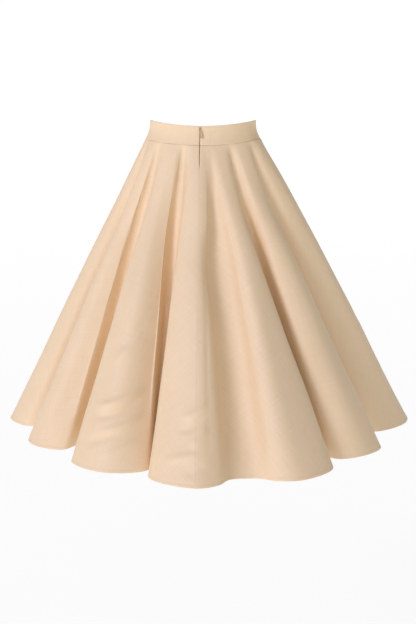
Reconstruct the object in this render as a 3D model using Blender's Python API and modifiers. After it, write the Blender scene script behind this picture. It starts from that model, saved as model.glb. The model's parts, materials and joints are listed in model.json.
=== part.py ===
"""Circle skirt with a contoured waistband and an invisible zip in the centre back.

Metres, +Z up. The zip faces -Y and the wearer's right is +X. The origin is the centre of the
waist opening, level with the top edge of the waistband at the side seams.
"""

import math
from collections import namedtuple

import bmesh
import bpy
from mathutils import Matrix, Vector

# --- Driving sizes -----------------------------------------------------------------------------

WAIST_HALF_WIDTH = 0.1200
WAIST_HALF_DEPTH = 0.0850
BAND_HEIGHT = 0.0415
BACK_DIP = 0.0125  # how far the waist edge sinks at the centre back
FRONT_DIP = 0.0180
HEM_HEIGHT = -0.6990
SEAM_GAP = 0.0003
BAND_WALL = 0.0024  # two layers of cloth with interfacing
SKIRT_WALL = 0.0016
CENTRE_BACK_TURN = math.radians(-3.0)

CURVE_STEPS = 3  # columns between two neighbouring points of the hem
SKIRT_ROWS = 8
BAND_COLUMNS = 64  # all round

# The waistband's side, from its top edge to the waist seam: part of its height, and how far
# it stands out there from the top edge.
BandRow = namedtuple("BandRow", "down flare")
BAND_PROFILE = (
    BandRow(0.00, 0.0000),
    BandRow(0.38, 0.0006),
    BandRow(0.62, 0.0034),
    BandRow(0.82, 0.0068),
    BandRow(1.00, 0.0100),
)
SEAM_FLARE = BAND_PROFILE[-1].flare

# The folds at the hem in plan, all round from the left side over the back. Each fold has its
# left shoulder, crest and right shoulder, and the valley that parts it from the next one:
# degrees from the centre back (+ to the right) and radius, with the width of the valley's floor.
Fold = namedtuple("Fold", "name left left_r crest crest_r right right_r valley valley_r floor")
FOLDS = (
    Fold("side_left", -98.0, 0.425, -91.0, 0.462, -81.0, 0.418, -76.0, 0.335, 0.030),
    Fold("back_1", -68.0, 0.418, -59.0, 0.425, -50.5, 0.384, -51.5, 0.320, 0.030),
    Fold("back_2", -40.0, 0.424, -27.0, 0.440, -16.0, 0.392, -18.0, 0.305, 0.028),
    Fold("back_3", -14.0, 0.439, -1.5, 0.485, 4.0, 0.468, 10.6, 0.436, 0.044),
    Fold("back_4", 18.5, 0.466, 24.5, 0.481, 36.5, 0.450, 41.0, 0.325, 0.028),
    Fold("back_5", 42.5, 0.416, 51.0, 0.447, 60.6, 0.446, 66.0, 0.330, 0.030),
    Fold("side_right", 75.0, 0.420, 86.0, 0.480, 94.0, 0.480, 99.0, 0.320, 0.030),
    Fold("front_1", 103.0, 0.424, 111.0, 0.466, 119.0, 0.436, 122.5, 0.312, 0.032),
    Fold("front_2", 127.0, 0.424, 138.0, 0.468, 150.0, 0.446, 153.0, 0.322, 0.030),
    Fold("front_3", 157.0, 0.436, 166.0, 0.462, 175.5, 0.448, 182.0, 0.400, 0.026),
    Fold("front_4", 188.5, 0.446, 198.0, 0.470, 208.0, 0.438, 210.5, 0.305, 0.030),
    Fold("front_5", 214.5, 0.424, 222.5, 0.454, 230.5, 0.428, 234.0, 0.318, 0.032),
    Fold("front_6", 238.0, 0.430, 246.5, 0.462, 255.0, 0.432, 258.0, 0.318, 0.030),
)
POINTS_PER_FOLD = 5  # left, crest, right, and the two ends of the valley floor
CREST, FLOOR_START, FLOOR_END = 1, 3, 4

# Where the panels meet, as points of the hem counted round from the first fold.
CENTRE_BACK = 3 * POINTS_PER_FOLD + CREST
RIGHT_SIDE = 6 * POINTS_PER_FOLD + FLOOR_START
LEFT_SIDE = 12 * POINTS_PER_FOLD + FLOOR_END
WHOLE_TURN = len(FOLDS) * POINTS_PER_FOLD

# --- Zip ---------------------------------------------------------------------------------------

ZIP_LENGTH = 0.200
ZIP_START = 0.0015  # below the waistband's top edge
TAPE_INNER, TAPE_MIDDLE, TAPE_OUTER = 0.0013, 0.0065, 0.0120
TAPE_WALL = 0.0010
TAPE_DEPTH = BAND_WALL + SEAM_GAP
TAPE_BAND_ANGLES, TAPE_SKIRT_COLUMNS = 4, 8  # enough of each to reach past the tape's edge
COIL_RADIUS = 0.0009
COIL_DEPTH = 0.0033
ZIP_STATION = 0.020  # spacing of the tape's and the coil's sections

# The slit between the two lips: distance down from the top edge, and width.
SlitRow = namedtuple("SlitRow", "down width")
SLIT = (SlitRow(0.000, 0.0024), SlitRow(0.043, 0.0020), SlitRow(0.080, 0.0014), SlitRow(0.097, 0.0003))

PIN_DOWN = 0.0055  # the pull tab's pin, down from the top edge
PIN_OUT = 0.0023
PIN_RADIUS = 0.0004
PIN_LENGTH = 0.0034
PIN_SIDES, EYE_SIDES = 12, 16

# The slider's blocks about the pin, in its own frame: -Y is outward and X runs along the pin.
Block = namedtuple("Block", "x0 x1 y0 y1 z0 z1")
SLIDER_BLOCKS = (
    Block(-0.0035, 0.0035, 0.0063, 0.0099, -0.0055, 0.0035),  # body behind the tapes
    Block(-0.0006, 0.0006, 0.0014, 0.0067, -0.0025, 0.0025),  # post through the slit
    Block(-0.0020, 0.0020, 0.0013, 0.0017, -0.0030, 0.0030),  # plate outside the slit
    Block(-0.0020, -0.0013, -0.0007, 0.0015, -0.0012, 0.0012),  # left cheek
    Block(0.0013, 0.0020, -0.0007, 0.0015, -0.0012, 0.0012),  # right cheek
)
SLIDER_BOTTOM = PIN_DOWN + 0.0055

TAB_LENGTH = 0.0220
TAB_WALL = 0.0010
TAB_NECK_HALF = 0.0008
TAB_NECK_END = 0.0028
TAB_SHOULDER = 0.0100  # length over which it widens below the neck
TAB_HALF_WIDTH = 0.0030
SHOULDER_STEPS, TIP_STEPS = 4, 6
TAB_BARREL_RADIUS = 0.00105
TAB_BARREL_HALF = 0.00085
TAB_HOLE_RADIUS = 0.0007
TAB_LEAN = math.radians(12.0)  # hangs a little to the right
TAB_PITCH = math.radians(8.5)  # rests on the flare of the band

# --- Materials ---------------------------------------------------------------------------------

Finish = namedtuple("Finish", "name colour roughness metallic")
CLOTH = Finish("cotton_satin", (0.79, 0.60, 0.43), 0.60, 0.0)
TAPE = Finish("zip_tape", (0.66, 0.48, 0.33), 0.80, 0.0)
COIL = Finish("zip_coil", (0.60, 0.43, 0.29), 0.50, 0.0)
METAL = Finish("enamelled_metal", (0.52, 0.38, 0.25), 0.35, 0.4)


def clear_scene():
    """Removes whatever the scene holds."""
    for obj in list(bpy.data.objects):
        bpy.data.objects.remove(obj, do_unlink=True)


def new_material(finish):
    """A Principled material of this finish."""
    material = bpy.data.materials.new(finish.name)
    material.use_nodes = True
    shader = material.node_tree.nodes["Principled BSDF"]
    shader.inputs["Base Color"].default_value = (*finish.colour, 1.0)
    shader.inputs["Roughness"].default_value = finish.roughness
    shader.inputs["Metallic"].default_value = finish.metallic
    material.diffuse_color = (*finish.colour, 1.0)
    return material


def add_object(name, mesh, collection, material):
    """An object of this mesh in the collection."""
    obj = bpy.data.objects.new(name, mesh)
    collection.objects.link(obj)
    mesh.materials.append(material)
    return obj


# --- The waist line ----------------------------------------------------------------------------


def dip_at(angle):
    """How far the waist edge sinks at this angle from the centre back."""
    lean = math.cos(angle)
    return (BACK_DIP if lean > 0.0 else FRONT_DIP) * lean * lean


def waist_point(angle, flare, down):
    """A point of the waistband's outer face, or of the waist seam."""
    return Vector(
        (
            (WAIST_HALF_WIDTH + flare) * math.sin(angle),
            -(WAIST_HALF_DEPTH + flare) * math.cos(angle),
            -down * BAND_HEIGHT - dip_at(angle),
        )
    )


def centre_back_tangent():
    """The direction along the waist at the centre back, towards the right."""
    across = WAIST_HALF_WIDTH * math.cos(CENTRE_BACK_TURN)
    back = WAIST_HALF_DEPTH * math.sin(CENTRE_BACK_TURN)
    return Vector((across, back, 0.0)).normalized()


def waist_angles(parts):
    """The angle at each part of the way round the waist seam, from the centre back."""
    steps = 4 * 360
    angles = [CENTRE_BACK_TURN + 2.0 * math.pi * i / steps for i in range(steps + 1)]
    points = [waist_point(angle, SEAM_FLARE, 1.0) for angle in angles]
    lengths = running_lengths(points)
    found = []
    i = 0
    for part in parts:
        want = part * lengths[-1]
        while i < steps - 1 and lengths[i + 1] < want:
            i += 1
        share = (want - lengths[i]) / (lengths[i + 1] - lengths[i])
        found.append(angles[i] + share * (angles[i + 1] - angles[i]))
    return found


def running_lengths(points):
    """Distance along a run of points, up to each of them."""
    lengths = [0.0]
    for before, after in zip(points, points[1:]):
        lengths.append(lengths[-1] + (after - before).length)
    return lengths


# --- The hem line ------------------------------------------------------------------------------


def polar(degrees, radius):
    angle = math.radians(degrees)
    return Vector((radius * math.sin(angle), -radius * math.cos(angle), HEM_HEIGHT))


def hem_points():
    """The points that the hem passes through, five for each fold."""
    points = []
    for fold in FOLDS:
        half_floor = math.degrees(fold.floor / 2.0 / fold.valley_r)
        points.append(polar(fold.left, fold.left_r))
        points.append(polar(fold.crest, fold.crest_r))
        points.append(polar(fold.right, fold.right_r))
        points.append(polar(fold.valley - half_floor, fold.valley_r))
        points.append(polar(fold.valley + half_floor, fold.valley_r))
    return points


def spline_between(p0, p1, p2, p3, steps):
    """Points from p1 up to, but not with, p2 on a centripetal Catmull-Rom curve."""
    a, b, c = (math.sqrt((q - p).length) for p, q in ((p0, p1), (p1, p2), (p2, p3)))
    start = ((p1 - p0) / a - (p2 - p0) / (a + b) + (p2 - p1) / b) * b
    end = ((p2 - p1) / b - (p3 - p1) / (b + c) + (p3 - p2) / c) * b
    points = []
    for i in range(steps):
        u = i / steps
        points.append(
            p1 * (2 * u**3 - 3 * u**2 + 1)
            + start * (u**3 - 2 * u**2 + u)
            + p2 * (3 * u**2 - 2 * u**3)
            + end * (u**3 - u**2)
        )
    return points


def hem_line():
    """The whole hem once round from the centre back, with its last point on its first."""
    points = hem_points()
    line = []
    for i in range(CENTRE_BACK, CENTRE_BACK + WHOLE_TURN):
        around = [points[(i + k) % WHOLE_TURN] for k in (-1, 0, 1, 2)]
        line += spline_between(*around, CURVE_STEPS)
    line.append(line[0])
    return line


def skirt_columns():
    """Each straight line of the cloth from the waist seam to the hem.

    The skirt is a flat ring before it is hung, so a point's part of the way round the hem is
    the same as its line's part of the way round the waist seam.
    """
    hem = hem_line()
    lengths = running_lengths(hem)
    parts = [length / lengths[-1] for length in lengths]
    angles = waist_angles(parts)
    return [(waist_point(a, SEAM_FLARE, 1.0), point) for a, point in zip(angles, hem)], angles


# --- Cloth walls -------------------------------------------------------------------------------


def slit_width(down):
    """Width of the zip's slit at this distance down from the top edge."""
    for above, below in zip(SLIT, SLIT[1:]):
        if down <= below.down:
            share = max(0.0, (down - above.down) / (below.down - above.down))
            return above.width + share * (below.width - above.width)
    return SEAM_GAP


def open_edge(rows, column, inward, widths):
    """Draws one edge of a grid back by half the gap to the panel beside it."""
    for row, width in zip(rows, widths):
        edge, neighbour = row[column], row[column + inward]
        row[column] = edge + (neighbour - edge).normalized() * (width / 2.0)


def outward_normals(rows):
    """The outward direction at each point of a closed grid, whose last column is its first."""
    normals = []
    last = len(rows) - 1
    for r, row in enumerate(rows):
        wide = len(row) - 1
        line = []
        for c in range(wide):
            across = row[(c + 1) % wide] - row[(c - 1) % wide]
            down = rows[min(r + 1, last)][c] - rows[max(r - 1, 0)][c]
            line.append(down.cross(across).normalized())
        normals.append(line + line[:1])
    return normals


def both_faces(rows, thickness):
    """The outer rows, and the inner rows that lie the wall's thickness behind them."""
    normals = outward_normals(rows)
    inner = [[p - n * thickness for p, n in zip(row, line)] for row, line in zip(rows, normals)]
    return rows, inner


def level_inside(outer, inner):
    """Ends the inner rows level with the outer ones, above the thicker wall's seam."""
    for c, (above, below) in enumerate(zip(inner[-2], inner[-1])):
        share = (above.z - outer[-1][c].z) / (above.z - below.z)
        inner[-1][c] = above.lerp(below, share)


def cut(rows, first, last):
    """The columns of a grid from first to last."""
    return [row[first : last + 1] for row in rows]


def grid_faces(tall, wide, start, turned):
    """Quads of a grid whose corners are numbered row by row from start."""
    faces = []
    for r in range(tall - 1):
        for c in range(wide - 1):
            corner = start + r * wide + c
            quad = (corner, corner + wide, corner + wide + 1, corner + 1)
            faces.append(quad[::-1] if turned else quad)
    return faces


def wall_object(name, faces_of_wall, edges, collection, material):
    """A closed wall between an outer and an inner grid of points.

    edges holds, for the first and the last column, the gap at each row to the piece beside it.
    """
    outer, inner = faces_of_wall
    for rows in (outer, inner):
        open_edge(rows, 0, 1, edges[0])
        open_edge(rows, -1, -1, edges[1])
    tall, wide = len(outer), len(outer[0])
    inside = tall * wide
    faces = grid_faces(tall, wide, 0, False) + grid_faces(tall, wide, inside, True)
    rim = list(range(wide))
    rim += [r * wide + wide - 1 for r in range(1, tall)]
    rim += [(tall - 1) * wide + c for c in range(wide - 2, -1, -1)]
    rim += [r * wide for r in range(tall - 2, 0, -1)]
    for here, there in zip(rim, rim[1:] + rim[:1]):
        quad = (here, there, there + inside, here + inside)
        # Every rim is split from its upper or left corner, so twisted ones keep their gap.
        faces.append(quad if there > here else quad[1:] + quad[:1])
    mesh = bpy.data.meshes.new(name)
    corners = [tuple(point) for rows in (outer, inner) for row in rows for point in row]
    mesh.from_pydata(corners, [], faces)
    mesh.update()
    mesh.shade_smooth()
    mesh.set_sharp_from_angle(angle=math.radians(60.0))
    return add_object(name, mesh, collection, material)


def slit_widths(rows, column):
    """The slit's width at each row of a back panel."""
    downs = running_lengths([row[column] for row in rows])
    return [slit_width(BAND_HEIGHT + down) for down in downs]


def skirt_rows(columns):
    """Rows of the skirt from the waist seam down, with one where the slit closes."""
    slit_end = (SLIT[-1].down - BAND_HEIGHT) / (columns[0][1] - columns[0][0]).length
    seam = SEAM_GAP / 2.0 / (columns[0][1] - columns[0][0]).length
    shares = [seam, slit_end] + [r / SKIRT_ROWS for r in range(1, SKIRT_ROWS + 1)]
    return [[top.lerp(hem, share) for top, hem in columns] for share in shares]


def build_skirt(collection, material):
    """The front panel and the two back panels. Returns the columns and the side seams' angles."""
    columns, angles = skirt_columns()
    outer, inner = both_faces(skirt_rows(columns), SKIRT_WALL)
    right = (RIGHT_SIDE - CENTRE_BACK) * CURVE_STEPS
    left = (LEFT_SIDE - CENTRE_BACK) * CURVE_STEPS
    plain = [SEAM_GAP] * len(outer)
    slit = slit_widths(outer, 0)
    pieces = (
        ("back_panel_right", 0, right, (slit, plain)),
        ("front_panel", right, left, (plain, plain)),
        ("back_panel_left", left, len(columns) - 1, (plain, slit)),
    )
    for name, first, last, edges in pieces:
        faces_of_wall = cut(outer, first, last), cut(inner, first, last)
        wall_object(name, faces_of_wall, edges, collection, material)
    return columns, angles[right], angles[left]


def band_angles(start, end):
    """Even angles between two seams of the waistband, without the last one."""
    count = round(BAND_COLUMNS * (end - start) / (2.0 * math.pi))
    return [start + (end - start) * i / count for i in range(count)]


def build_band(side_right, side_left, collection, material):
    """The waistband in three pieces: back right, front and back left."""
    start, end = CENTRE_BACK_TURN, CENTRE_BACK_TURN + 2.0 * math.pi
    seams = (start, side_right, side_left, end)
    stretches = [band_angles(*pair) for pair in zip(seams, seams[1:])]
    angles = [angle for stretch in stretches for angle in stretch] + [end]
    rows = [[waist_point(angle, row.flare, row.down) for angle in angles] for row in BAND_PROFILE]
    lift = Vector((0.0, 0.0, SEAM_GAP / 2.0))
    rows[-1] = [point + lift for point in rows[-1]]
    outer, inner = both_faces(rows, BAND_WALL)
    level_inside(outer, inner)
    right = len(stretches[0])
    left = right + len(stretches[1])
    plain = [SEAM_GAP] * len(rows)
    slit = [slit_width(row.down * BAND_HEIGHT) for row in BAND_PROFILE]
    pieces = (
        ("waistband_back_right", 0, right, (slit, plain)),
        ("waistband_front", right, left, (plain, plain)),
        ("waistband_back_left", left, len(angles) - 1, (plain, slit)),
    )
    for name, first, last, edges in pieces:
        faces_of_wall = cut(outer, first, last), cut(inner, first, last)
        wall_object(name, faces_of_wall, edges, collection, material)


# --- Zip tapes and coil ------------------------------------------------------------------------


def zip_surface_rows(columns, side):
    """Rows of the outer face beside the slit, from the top edge down the zip.

    side is 1 for the right of the slit and -1 for the left.
    """
    step = 2.0 * math.pi / BAND_COLUMNS
    angles = [CENTRE_BACK_TURN + side * step * i for i in range(TAPE_BAND_ANGLES)]
    rows = [[waist_point(angle, row.flare, row.down) for angle in angles] for row in BAND_PROFILE]
    near = [columns[i if side > 0 else -1 - i] for i in range(TAPE_SKIRT_COLUMNS)]
    down = ZIP_STATION
    while down < ZIP_LENGTH - BAND_HEIGHT:
        length = (near[0][1] - near[0][0]).length
        rows.append([top.lerp(hem, down / length) for top, hem in near])
        down += ZIP_STATION
    return rows


def along(row, distance):
    """The point of a row at this distance from its first point."""
    lengths = running_lengths(row)
    for i in range(len(row) - 1):
        if distance <= lengths[i + 1]:
            return row[i].lerp(row[i + 1], (distance - lengths[i]) / (lengths[i + 1] - lengths[i]))
    return row[-1]


def inward_at(rows, r):
    """The direction into the skirt at the slit, for this row."""
    down = rows[min(r + 1, len(rows) - 1)][0] - rows[max(r - 1, 0)][0]
    return centre_back_tangent().cross(down).normalized()


def build_tape(name, side, columns, collection, material):
    """One tape of the zip, on the inside of the band and the back panel."""
    rows = zip_surface_rows(columns, side)
    rows[0] = [a.lerp(b, ZIP_START / (b - a).length) for a, b in zip(rows[0], rows[1])]
    tape = []
    for r, row in enumerate(rows):
        move = inward_at(rows, r) * TAPE_DEPTH
        tape.append([along(row, d) + move for d in (TAPE_INNER, TAPE_MIDDLE, TAPE_OUTER)])
    if side < 0:
        tape = [row[::-1] for row in tape]
    strip = bpy.data.meshes.new(name)
    corners = [tuple(point) for row in tape for point in row]
    strip.from_pydata(corners, [], grid_faces(len(tape), len(tape[0]), 0, False))
    wall = add_object(name, strip, collection, material).modifiers.new("Wall", "SOLIDIFY")
    wall.thickness = TAPE_WALL
    wall.offset = -1.0


def build_coil(columns, collection, material):
    """The closed coil as one round cord behind the slit, from the slider down."""
    rows = zip_surface_rows(columns, 1)
    start = SLIDER_BOTTOM + SEAM_GAP + COIL_RADIUS
    share = start / (rows[1][0] - rows[0][0]).length
    first = rows[0][0].lerp(rows[1][0], share) + inward_at(rows, 0) * COIL_DEPTH
    points = [first] + [rows[r][0] + inward_at(rows, r) * COIL_DEPTH for r in range(1, len(rows))]
    curve = bpy.data.curves.new("zip_coil", "CURVE")
    curve.dimensions = "3D"
    curve.bevel_depth = COIL_RADIUS
    curve.bevel_resolution = 2
    curve.use_fill_caps = True
    spline = curve.splines.new("POLY")
    spline.points.add(len(points) - 1)
    for corner, point in zip(spline.points, points):
        corner.co = (*point, 1.0)
    coil = bpy.data.objects.new("zip_coil", curve)
    collection.objects.link(coil)
    curve.materials.append(material)


# --- Slider and pull tab -----------------------------------------------------------------------


def pin_frame():
    """The place of the pull tab's pin, turned so that -Y points straight out of the band."""
    surface = waist_point(CENTRE_BACK_TURN, 0.0, PIN_DOWN / BAND_HEIGHT)
    across = centre_back_tangent()
    outward = Vector((across.y, -across.x, 0.0))
    turn = math.atan2(across.y, across.x)
    return Matrix.Translation(surface + outward * PIN_OUT) @ Matrix.Rotation(turn, 4, "Z")


def block_mesh(name, block):
    mesh = bpy.data.meshes.new(name)
    bm = bmesh.new()
    bmesh.ops.create_cube(bm, size=1.0)
    size = Vector((block.x1 - block.x0, block.y1 - block.y0, block.z1 - block.z0))
    middle = Vector((block.x1 + block.x0, block.y1 + block.y0, block.z1 + block.z0)) / 2.0
    bmesh.ops.scale(bm, vec=size, verts=bm.verts)
    bmesh.ops.translate(bm, vec=middle, verts=bm.verts)
    bm.to_mesh(mesh)
    bm.free()
    return mesh


def rod_mesh(name, radius, length, sides):
    """A rod along X through the origin."""
    mesh = bpy.data.meshes.new(name)
    bm = bmesh.new()
    bmesh.ops.create_cone(
        bm,
        cap_ends=True,
        segments=sides,
        radius1=radius,
        radius2=radius,
        depth=length,
        matrix=Matrix.Rotation(math.radians(90.0), 4, "Y"),
    )
    bm.to_mesh(mesh)
    bm.free()
    return mesh


def helper(name, mesh, frame, cutters):
    """A hidden shape that a Boolean modifier reads."""
    obj = bpy.data.objects.new(name, mesh)
    cutters.objects.link(obj)
    obj.matrix_world = frame
    obj.hide_render = True
    obj.display_type = "WIRE"
    return obj


def boolean(obj, other, operation):
    modifier = obj.modifiers.new(other.name, "BOOLEAN")
    modifier.operation = operation
    modifier.object = other


def build_slider(frame, collection, cutters, material):
    """The slider: a body inside, a post through the slit and a plate with cheeks and a pin."""
    body = block_mesh("zip_slider", SLIDER_BLOCKS[0])
    slider = add_object("zip_slider", body, collection, material)
    slider.matrix_world = frame
    for i, block in enumerate(SLIDER_BLOCKS[1:]):
        name = f"slider_block_{i}"
        boolean(slider, helper(name, block_mesh(name, block), frame, cutters), "UNION")
    pin = rod_mesh("slider_pin", PIN_RADIUS, PIN_LENGTH, PIN_SIDES)
    boolean(slider, helper("slider_pin", pin, frame, cutters), "UNION")


def tab_outline():
    """Half of the tab's outline as (half width, down), from the eye to the tip."""
    half = [(TAB_NECK_HALF, 0.0), (TAB_NECK_HALF, TAB_NECK_END)]
    for i in range(1, SHOULDER_STEPS + 1):
        u = i / SHOULDER_STEPS
        ease = u * u * (3.0 - 2.0 * u)
        width = TAB_NECK_HALF + (TAB_HALF_WIDTH - TAB_NECK_HALF) * ease
        half.append((width, TAB_NECK_END + TAB_SHOULDER * u))
    centre = TAB_LENGTH - TAB_HALF_WIDTH
    for i in range(TIP_STEPS):
        angle = math.radians(90.0) * i / TIP_STEPS
        half.append((TAB_HALF_WIDTH * math.cos(angle), centre + TAB_HALF_WIDTH * math.sin(angle)))
    return half


def tab_plate(name):
    """The tab's flat drop, hanging down from the pin."""
    half = tab_outline()
    outline = half + [(0.0, TAB_LENGTH)] + [(-w, d) for w, d in reversed(half)]
    mesh = bpy.data.meshes.new(name)
    bm = bmesh.new()
    ring = [bm.verts.new((w, -TAB_WALL / 2.0, -d)) for w, d in outline]
    face = bm.faces.new(ring)
    grown = bmesh.ops.extrude_face_region(bm, geom=[face])
    moved = [item for item in grown["geom"] if isinstance(item, bmesh.types.BMVert)]
    bmesh.ops.translate(bm, vec=(0.0, TAB_WALL, 0.0), verts=moved)
    bmesh.ops.recalc_face_normals(bm, faces=bm.faces)
    bm.to_mesh(mesh)
    bm.free()
    return mesh


def build_tab(frame, collection, cutters, material):
    """The pull tab, which swings about the slider's pin."""
    hang = frame @ Matrix.Rotation(-TAB_PITCH, 4, "X") @ Matrix.Rotation(-TAB_LEAN, 4, "Y")
    tab = add_object("pull_tab", tab_plate("pull_tab"), collection, material)
    tab.matrix_world = hang
    barrel = rod_mesh("tab_barrel", TAB_BARREL_RADIUS, 2.0 * TAB_BARREL_HALF, EYE_SIDES)
    boolean(tab, helper("tab_barrel", barrel, hang, cutters), "UNION")
    hole = rod_mesh("tab_hole", TAB_HOLE_RADIUS, 6.0 * TAB_BARREL_HALF, EYE_SIDES)
    boolean(tab, helper("tab_hole", hole, hang, cutters), "DIFFERENCE")


def main():
    clear_scene()
    skirt = bpy.data.collections.new("circle_skirt")
    cutters = bpy.data.collections.new("cutters")
    for collection in (skirt, cutters):
        bpy.context.scene.collection.children.link(collection)
    cloth, tape, coil, metal = [new_material(finish) for finish in (CLOTH, TAPE, COIL, METAL)]

    columns, side_right, side_left = build_skirt(skirt, cloth)
    build_band(side_right, side_left, skirt, cloth)
    build_tape("zip_tape_right", 1, columns, skirt, tape)
    build_tape("zip_tape_left", -1, columns, skirt, tape)
    build_coil(columns, skirt, coil)
    frame = pin_frame()
    build_slider(frame, skirt, cutters, metal)
    build_tab(frame, skirt, cutters, metal)


main()
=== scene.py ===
"""Looks of the circle skirt: fine cloth, seams, stitches, zip and studio around the fixed frame.

Metres, +Z up. The centre back and its zip face -Y and the wearer's right side is +X. The cloth
hangs in straight lines from the waist seam to the hem, so each panel is ruled between those two
lines by Geometry Nodes, and then takes its wrinkles, turned hem and seam edges.
"""

import json
import logging
import math
from dataclasses import dataclass
from enum import Enum

import bmesh
import bpy
import numpy as np
from mathutils import Matrix, Vector


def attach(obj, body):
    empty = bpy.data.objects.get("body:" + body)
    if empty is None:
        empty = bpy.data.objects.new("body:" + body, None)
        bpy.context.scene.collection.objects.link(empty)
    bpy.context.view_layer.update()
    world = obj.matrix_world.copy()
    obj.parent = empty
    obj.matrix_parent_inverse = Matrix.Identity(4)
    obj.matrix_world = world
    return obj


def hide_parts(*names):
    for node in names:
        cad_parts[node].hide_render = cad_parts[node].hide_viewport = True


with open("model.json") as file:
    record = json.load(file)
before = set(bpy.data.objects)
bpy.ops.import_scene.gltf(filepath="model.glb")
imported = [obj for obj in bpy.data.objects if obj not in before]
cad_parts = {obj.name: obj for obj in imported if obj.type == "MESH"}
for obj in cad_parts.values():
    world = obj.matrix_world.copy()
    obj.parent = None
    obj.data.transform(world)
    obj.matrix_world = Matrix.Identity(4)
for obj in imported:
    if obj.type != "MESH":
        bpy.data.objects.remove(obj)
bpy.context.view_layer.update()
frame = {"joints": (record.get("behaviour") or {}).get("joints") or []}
LOG = logging.getLogger("circle_skirt")
CUT_MAP = "cut"  # each piece's UV map: its place in the flat cut, in metres
TURN = 2.0 * math.pi

Colour = tuple[float, float, float]


# --- Nodes written as expressions ----------------------------------------------------------------


class Value:
    """A node's output that takes part in arithmetic, which adds Math nodes."""

    def __init__(self, graph: "Graph", socket: bpy.types.NodeSocket) -> None:
        """Wraps one output socket of a graph."""
        self.graph = graph
        self.socket = socket

    def _math(self, operation: str, *terms: "Value | float") -> "Value":
        """Adds a Math node of this operation on the terms."""
        sockets = dict(enumerate(terms))
        return self.graph.out("ShaderNodeMath", {"operation": operation}, sockets)

    def __add__(self, other: "Value | float") -> "Value":
        """self + other."""
        return self._math("ADD", self, other)

    __radd__ = __add__

    def __sub__(self, other: "Value | float") -> "Value":
        """self - other."""
        return self._math("SUBTRACT", self, other)

    def __rsub__(self, other: float) -> "Value":
        """other - self."""
        return self._math("SUBTRACT", other, self)

    def __mul__(self, other: "Value | float") -> "Value":
        """self * other."""
        return self._math("MULTIPLY", self, other)

    __rmul__ = __mul__

    def __truediv__(self, other: "Value | float") -> "Value":
        """self / other."""
        return self._math("DIVIDE", self, other)

    def sine(self) -> "Value":
        """The sine of self, in radians."""
        return self._math("SINE", self)

    def wave(self, length: float) -> "Value":
        """A wave between -1 and 1 that repeats each time self grows by length."""
        return (self * (TURN / length)).sine()


class Graph:
    """A node tree whose nodes are added by one method."""

    def __init__(self, tree: bpy.types.NodeTree) -> None:
        """Wraps the tree."""
        self.tree = tree

    def node(
        self,
        kind: str,
        settings: dict[str, object] | None = None,
        sockets: dict[str | int, object] | None = None,
    ) -> bpy.types.Node:
        """Adds a node.

        Args:
            kind: The node's type.
            settings: Its properties, which are set first.
            sockets: A number, vector, data-block or link for each input that isn't left alone.

        Returns:
            The node.
        """
        node = self.tree.nodes.new(kind)
        for name, setting in (settings or {}).items():
            setattr(node, name, setting)
        for key, given in (sockets or {}).items():
            if isinstance(given, Value):
                self.tree.links.new(given.socket, node.inputs[key])
            else:
                node.inputs[key].default_value = given
        return node

    def out(
        self,
        kind: str,
        settings: dict[str, object] | None = None,
        sockets: dict[str | int, object] | None = None,
        output: str | int = 0,
    ) -> Value:
        """Adds a node as node() does, and returns one of its outputs."""
        return Value(self, self.node(kind, settings, sockets).outputs[output])

    def feed(self, node: bpy.types.Node, place: str | int, value: Value) -> None:
        """Links a value to a node's input, by the input's name or number."""
        self.tree.links.new(value.socket, node.inputs[place])


class GeometryGraph(Graph):
    """A Geometry Nodes tree with named inputs and one geometry output."""

    def __init__(self, name: str, inputs: tuple[tuple[str, str], ...]) -> None:
        """Makes the tree.

        Args:
            name: The tree's name.
            inputs: The name and the socket type of each input after the geometry.
        """
        super().__init__(bpy.data.node_groups.new(name, "GeometryNodeTree"))
        face = self.tree.interface
        face.new_socket("Geometry", in_out="INPUT", socket_type="NodeSocketGeometry")
        for label, kind in inputs:
            face.new_socket(label, in_out="INPUT", socket_type=kind)
        face.new_socket("Geometry", in_out="OUTPUT", socket_type="NodeSocketGeometry")
        self.given = self.tree.nodes.new("NodeGroupInput")

    def input(self, label: str) -> Value:
        """One of the tree's named inputs."""
        return Value(self, self.given.outputs[label])

    def finish(self, geometry: Value) -> bpy.types.NodeTree:
        """Ends the tree in Realize Instances and Set Material.

        Args:
            geometry: What the tree has made.

        Returns:
            The finished tree.
        """
        realized = self.out("GeometryNodeRealizeInstances", None, {"Geometry": geometry})
        sockets = {"Geometry": realized, "Material": self.input("Material")}
        dressed = self.out("GeometryNodeSetMaterial", None, sockets)
        self.feed(self.tree.nodes.new("NodeGroupOutput"), "Geometry", dressed)
        return self.tree


def run_tree(
    name: str, source: bpy.types.ID, tree: bpy.types.NodeTree, inputs: dict[str, object]
) -> bpy.types.Object:
    """Runs a tree on some mesh or curve data and keeps the result as a plain mesh object.

    Args:
        name: The new object's name.
        source: The mesh or curve data that the tree starts from.
        tree: A Geometry Nodes tree.
        inputs: A value for each of the tree's named inputs.

    Returns:
        A mesh object at the origin, with no modifier.
    """
    carrier = bpy.data.objects.new(f"{name}_source", source)
    bpy.context.scene.collection.objects.link(carrier)
    modifier = carrier.modifiers.new(tree.name, "NODES")
    modifier.node_group = tree
    for item in tree.interface.items_tree:
        if item.in_out == "INPUT" and item.name in inputs:
            modifier[item.identifier] = inputs[item.name]
    evaluated = carrier.evaluated_get(bpy.context.evaluated_depsgraph_get())
    mesh = bpy.data.meshes.new_from_object(evaluated)
    mesh.name = name
    bpy.data.objects.remove(carrier)
    return link_mesh(name, mesh)


def link_mesh(name: str, mesh: bpy.types.Mesh) -> bpy.types.Object:
    """An object of this mesh at the origin.

    Args:
        name: Name of the object.
        mesh: Its mesh.

    Returns:
        The object.
    """
    obj = bpy.data.objects.new(name, mesh)
    bpy.context.scene.collection.objects.link(obj)
    return obj


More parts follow.
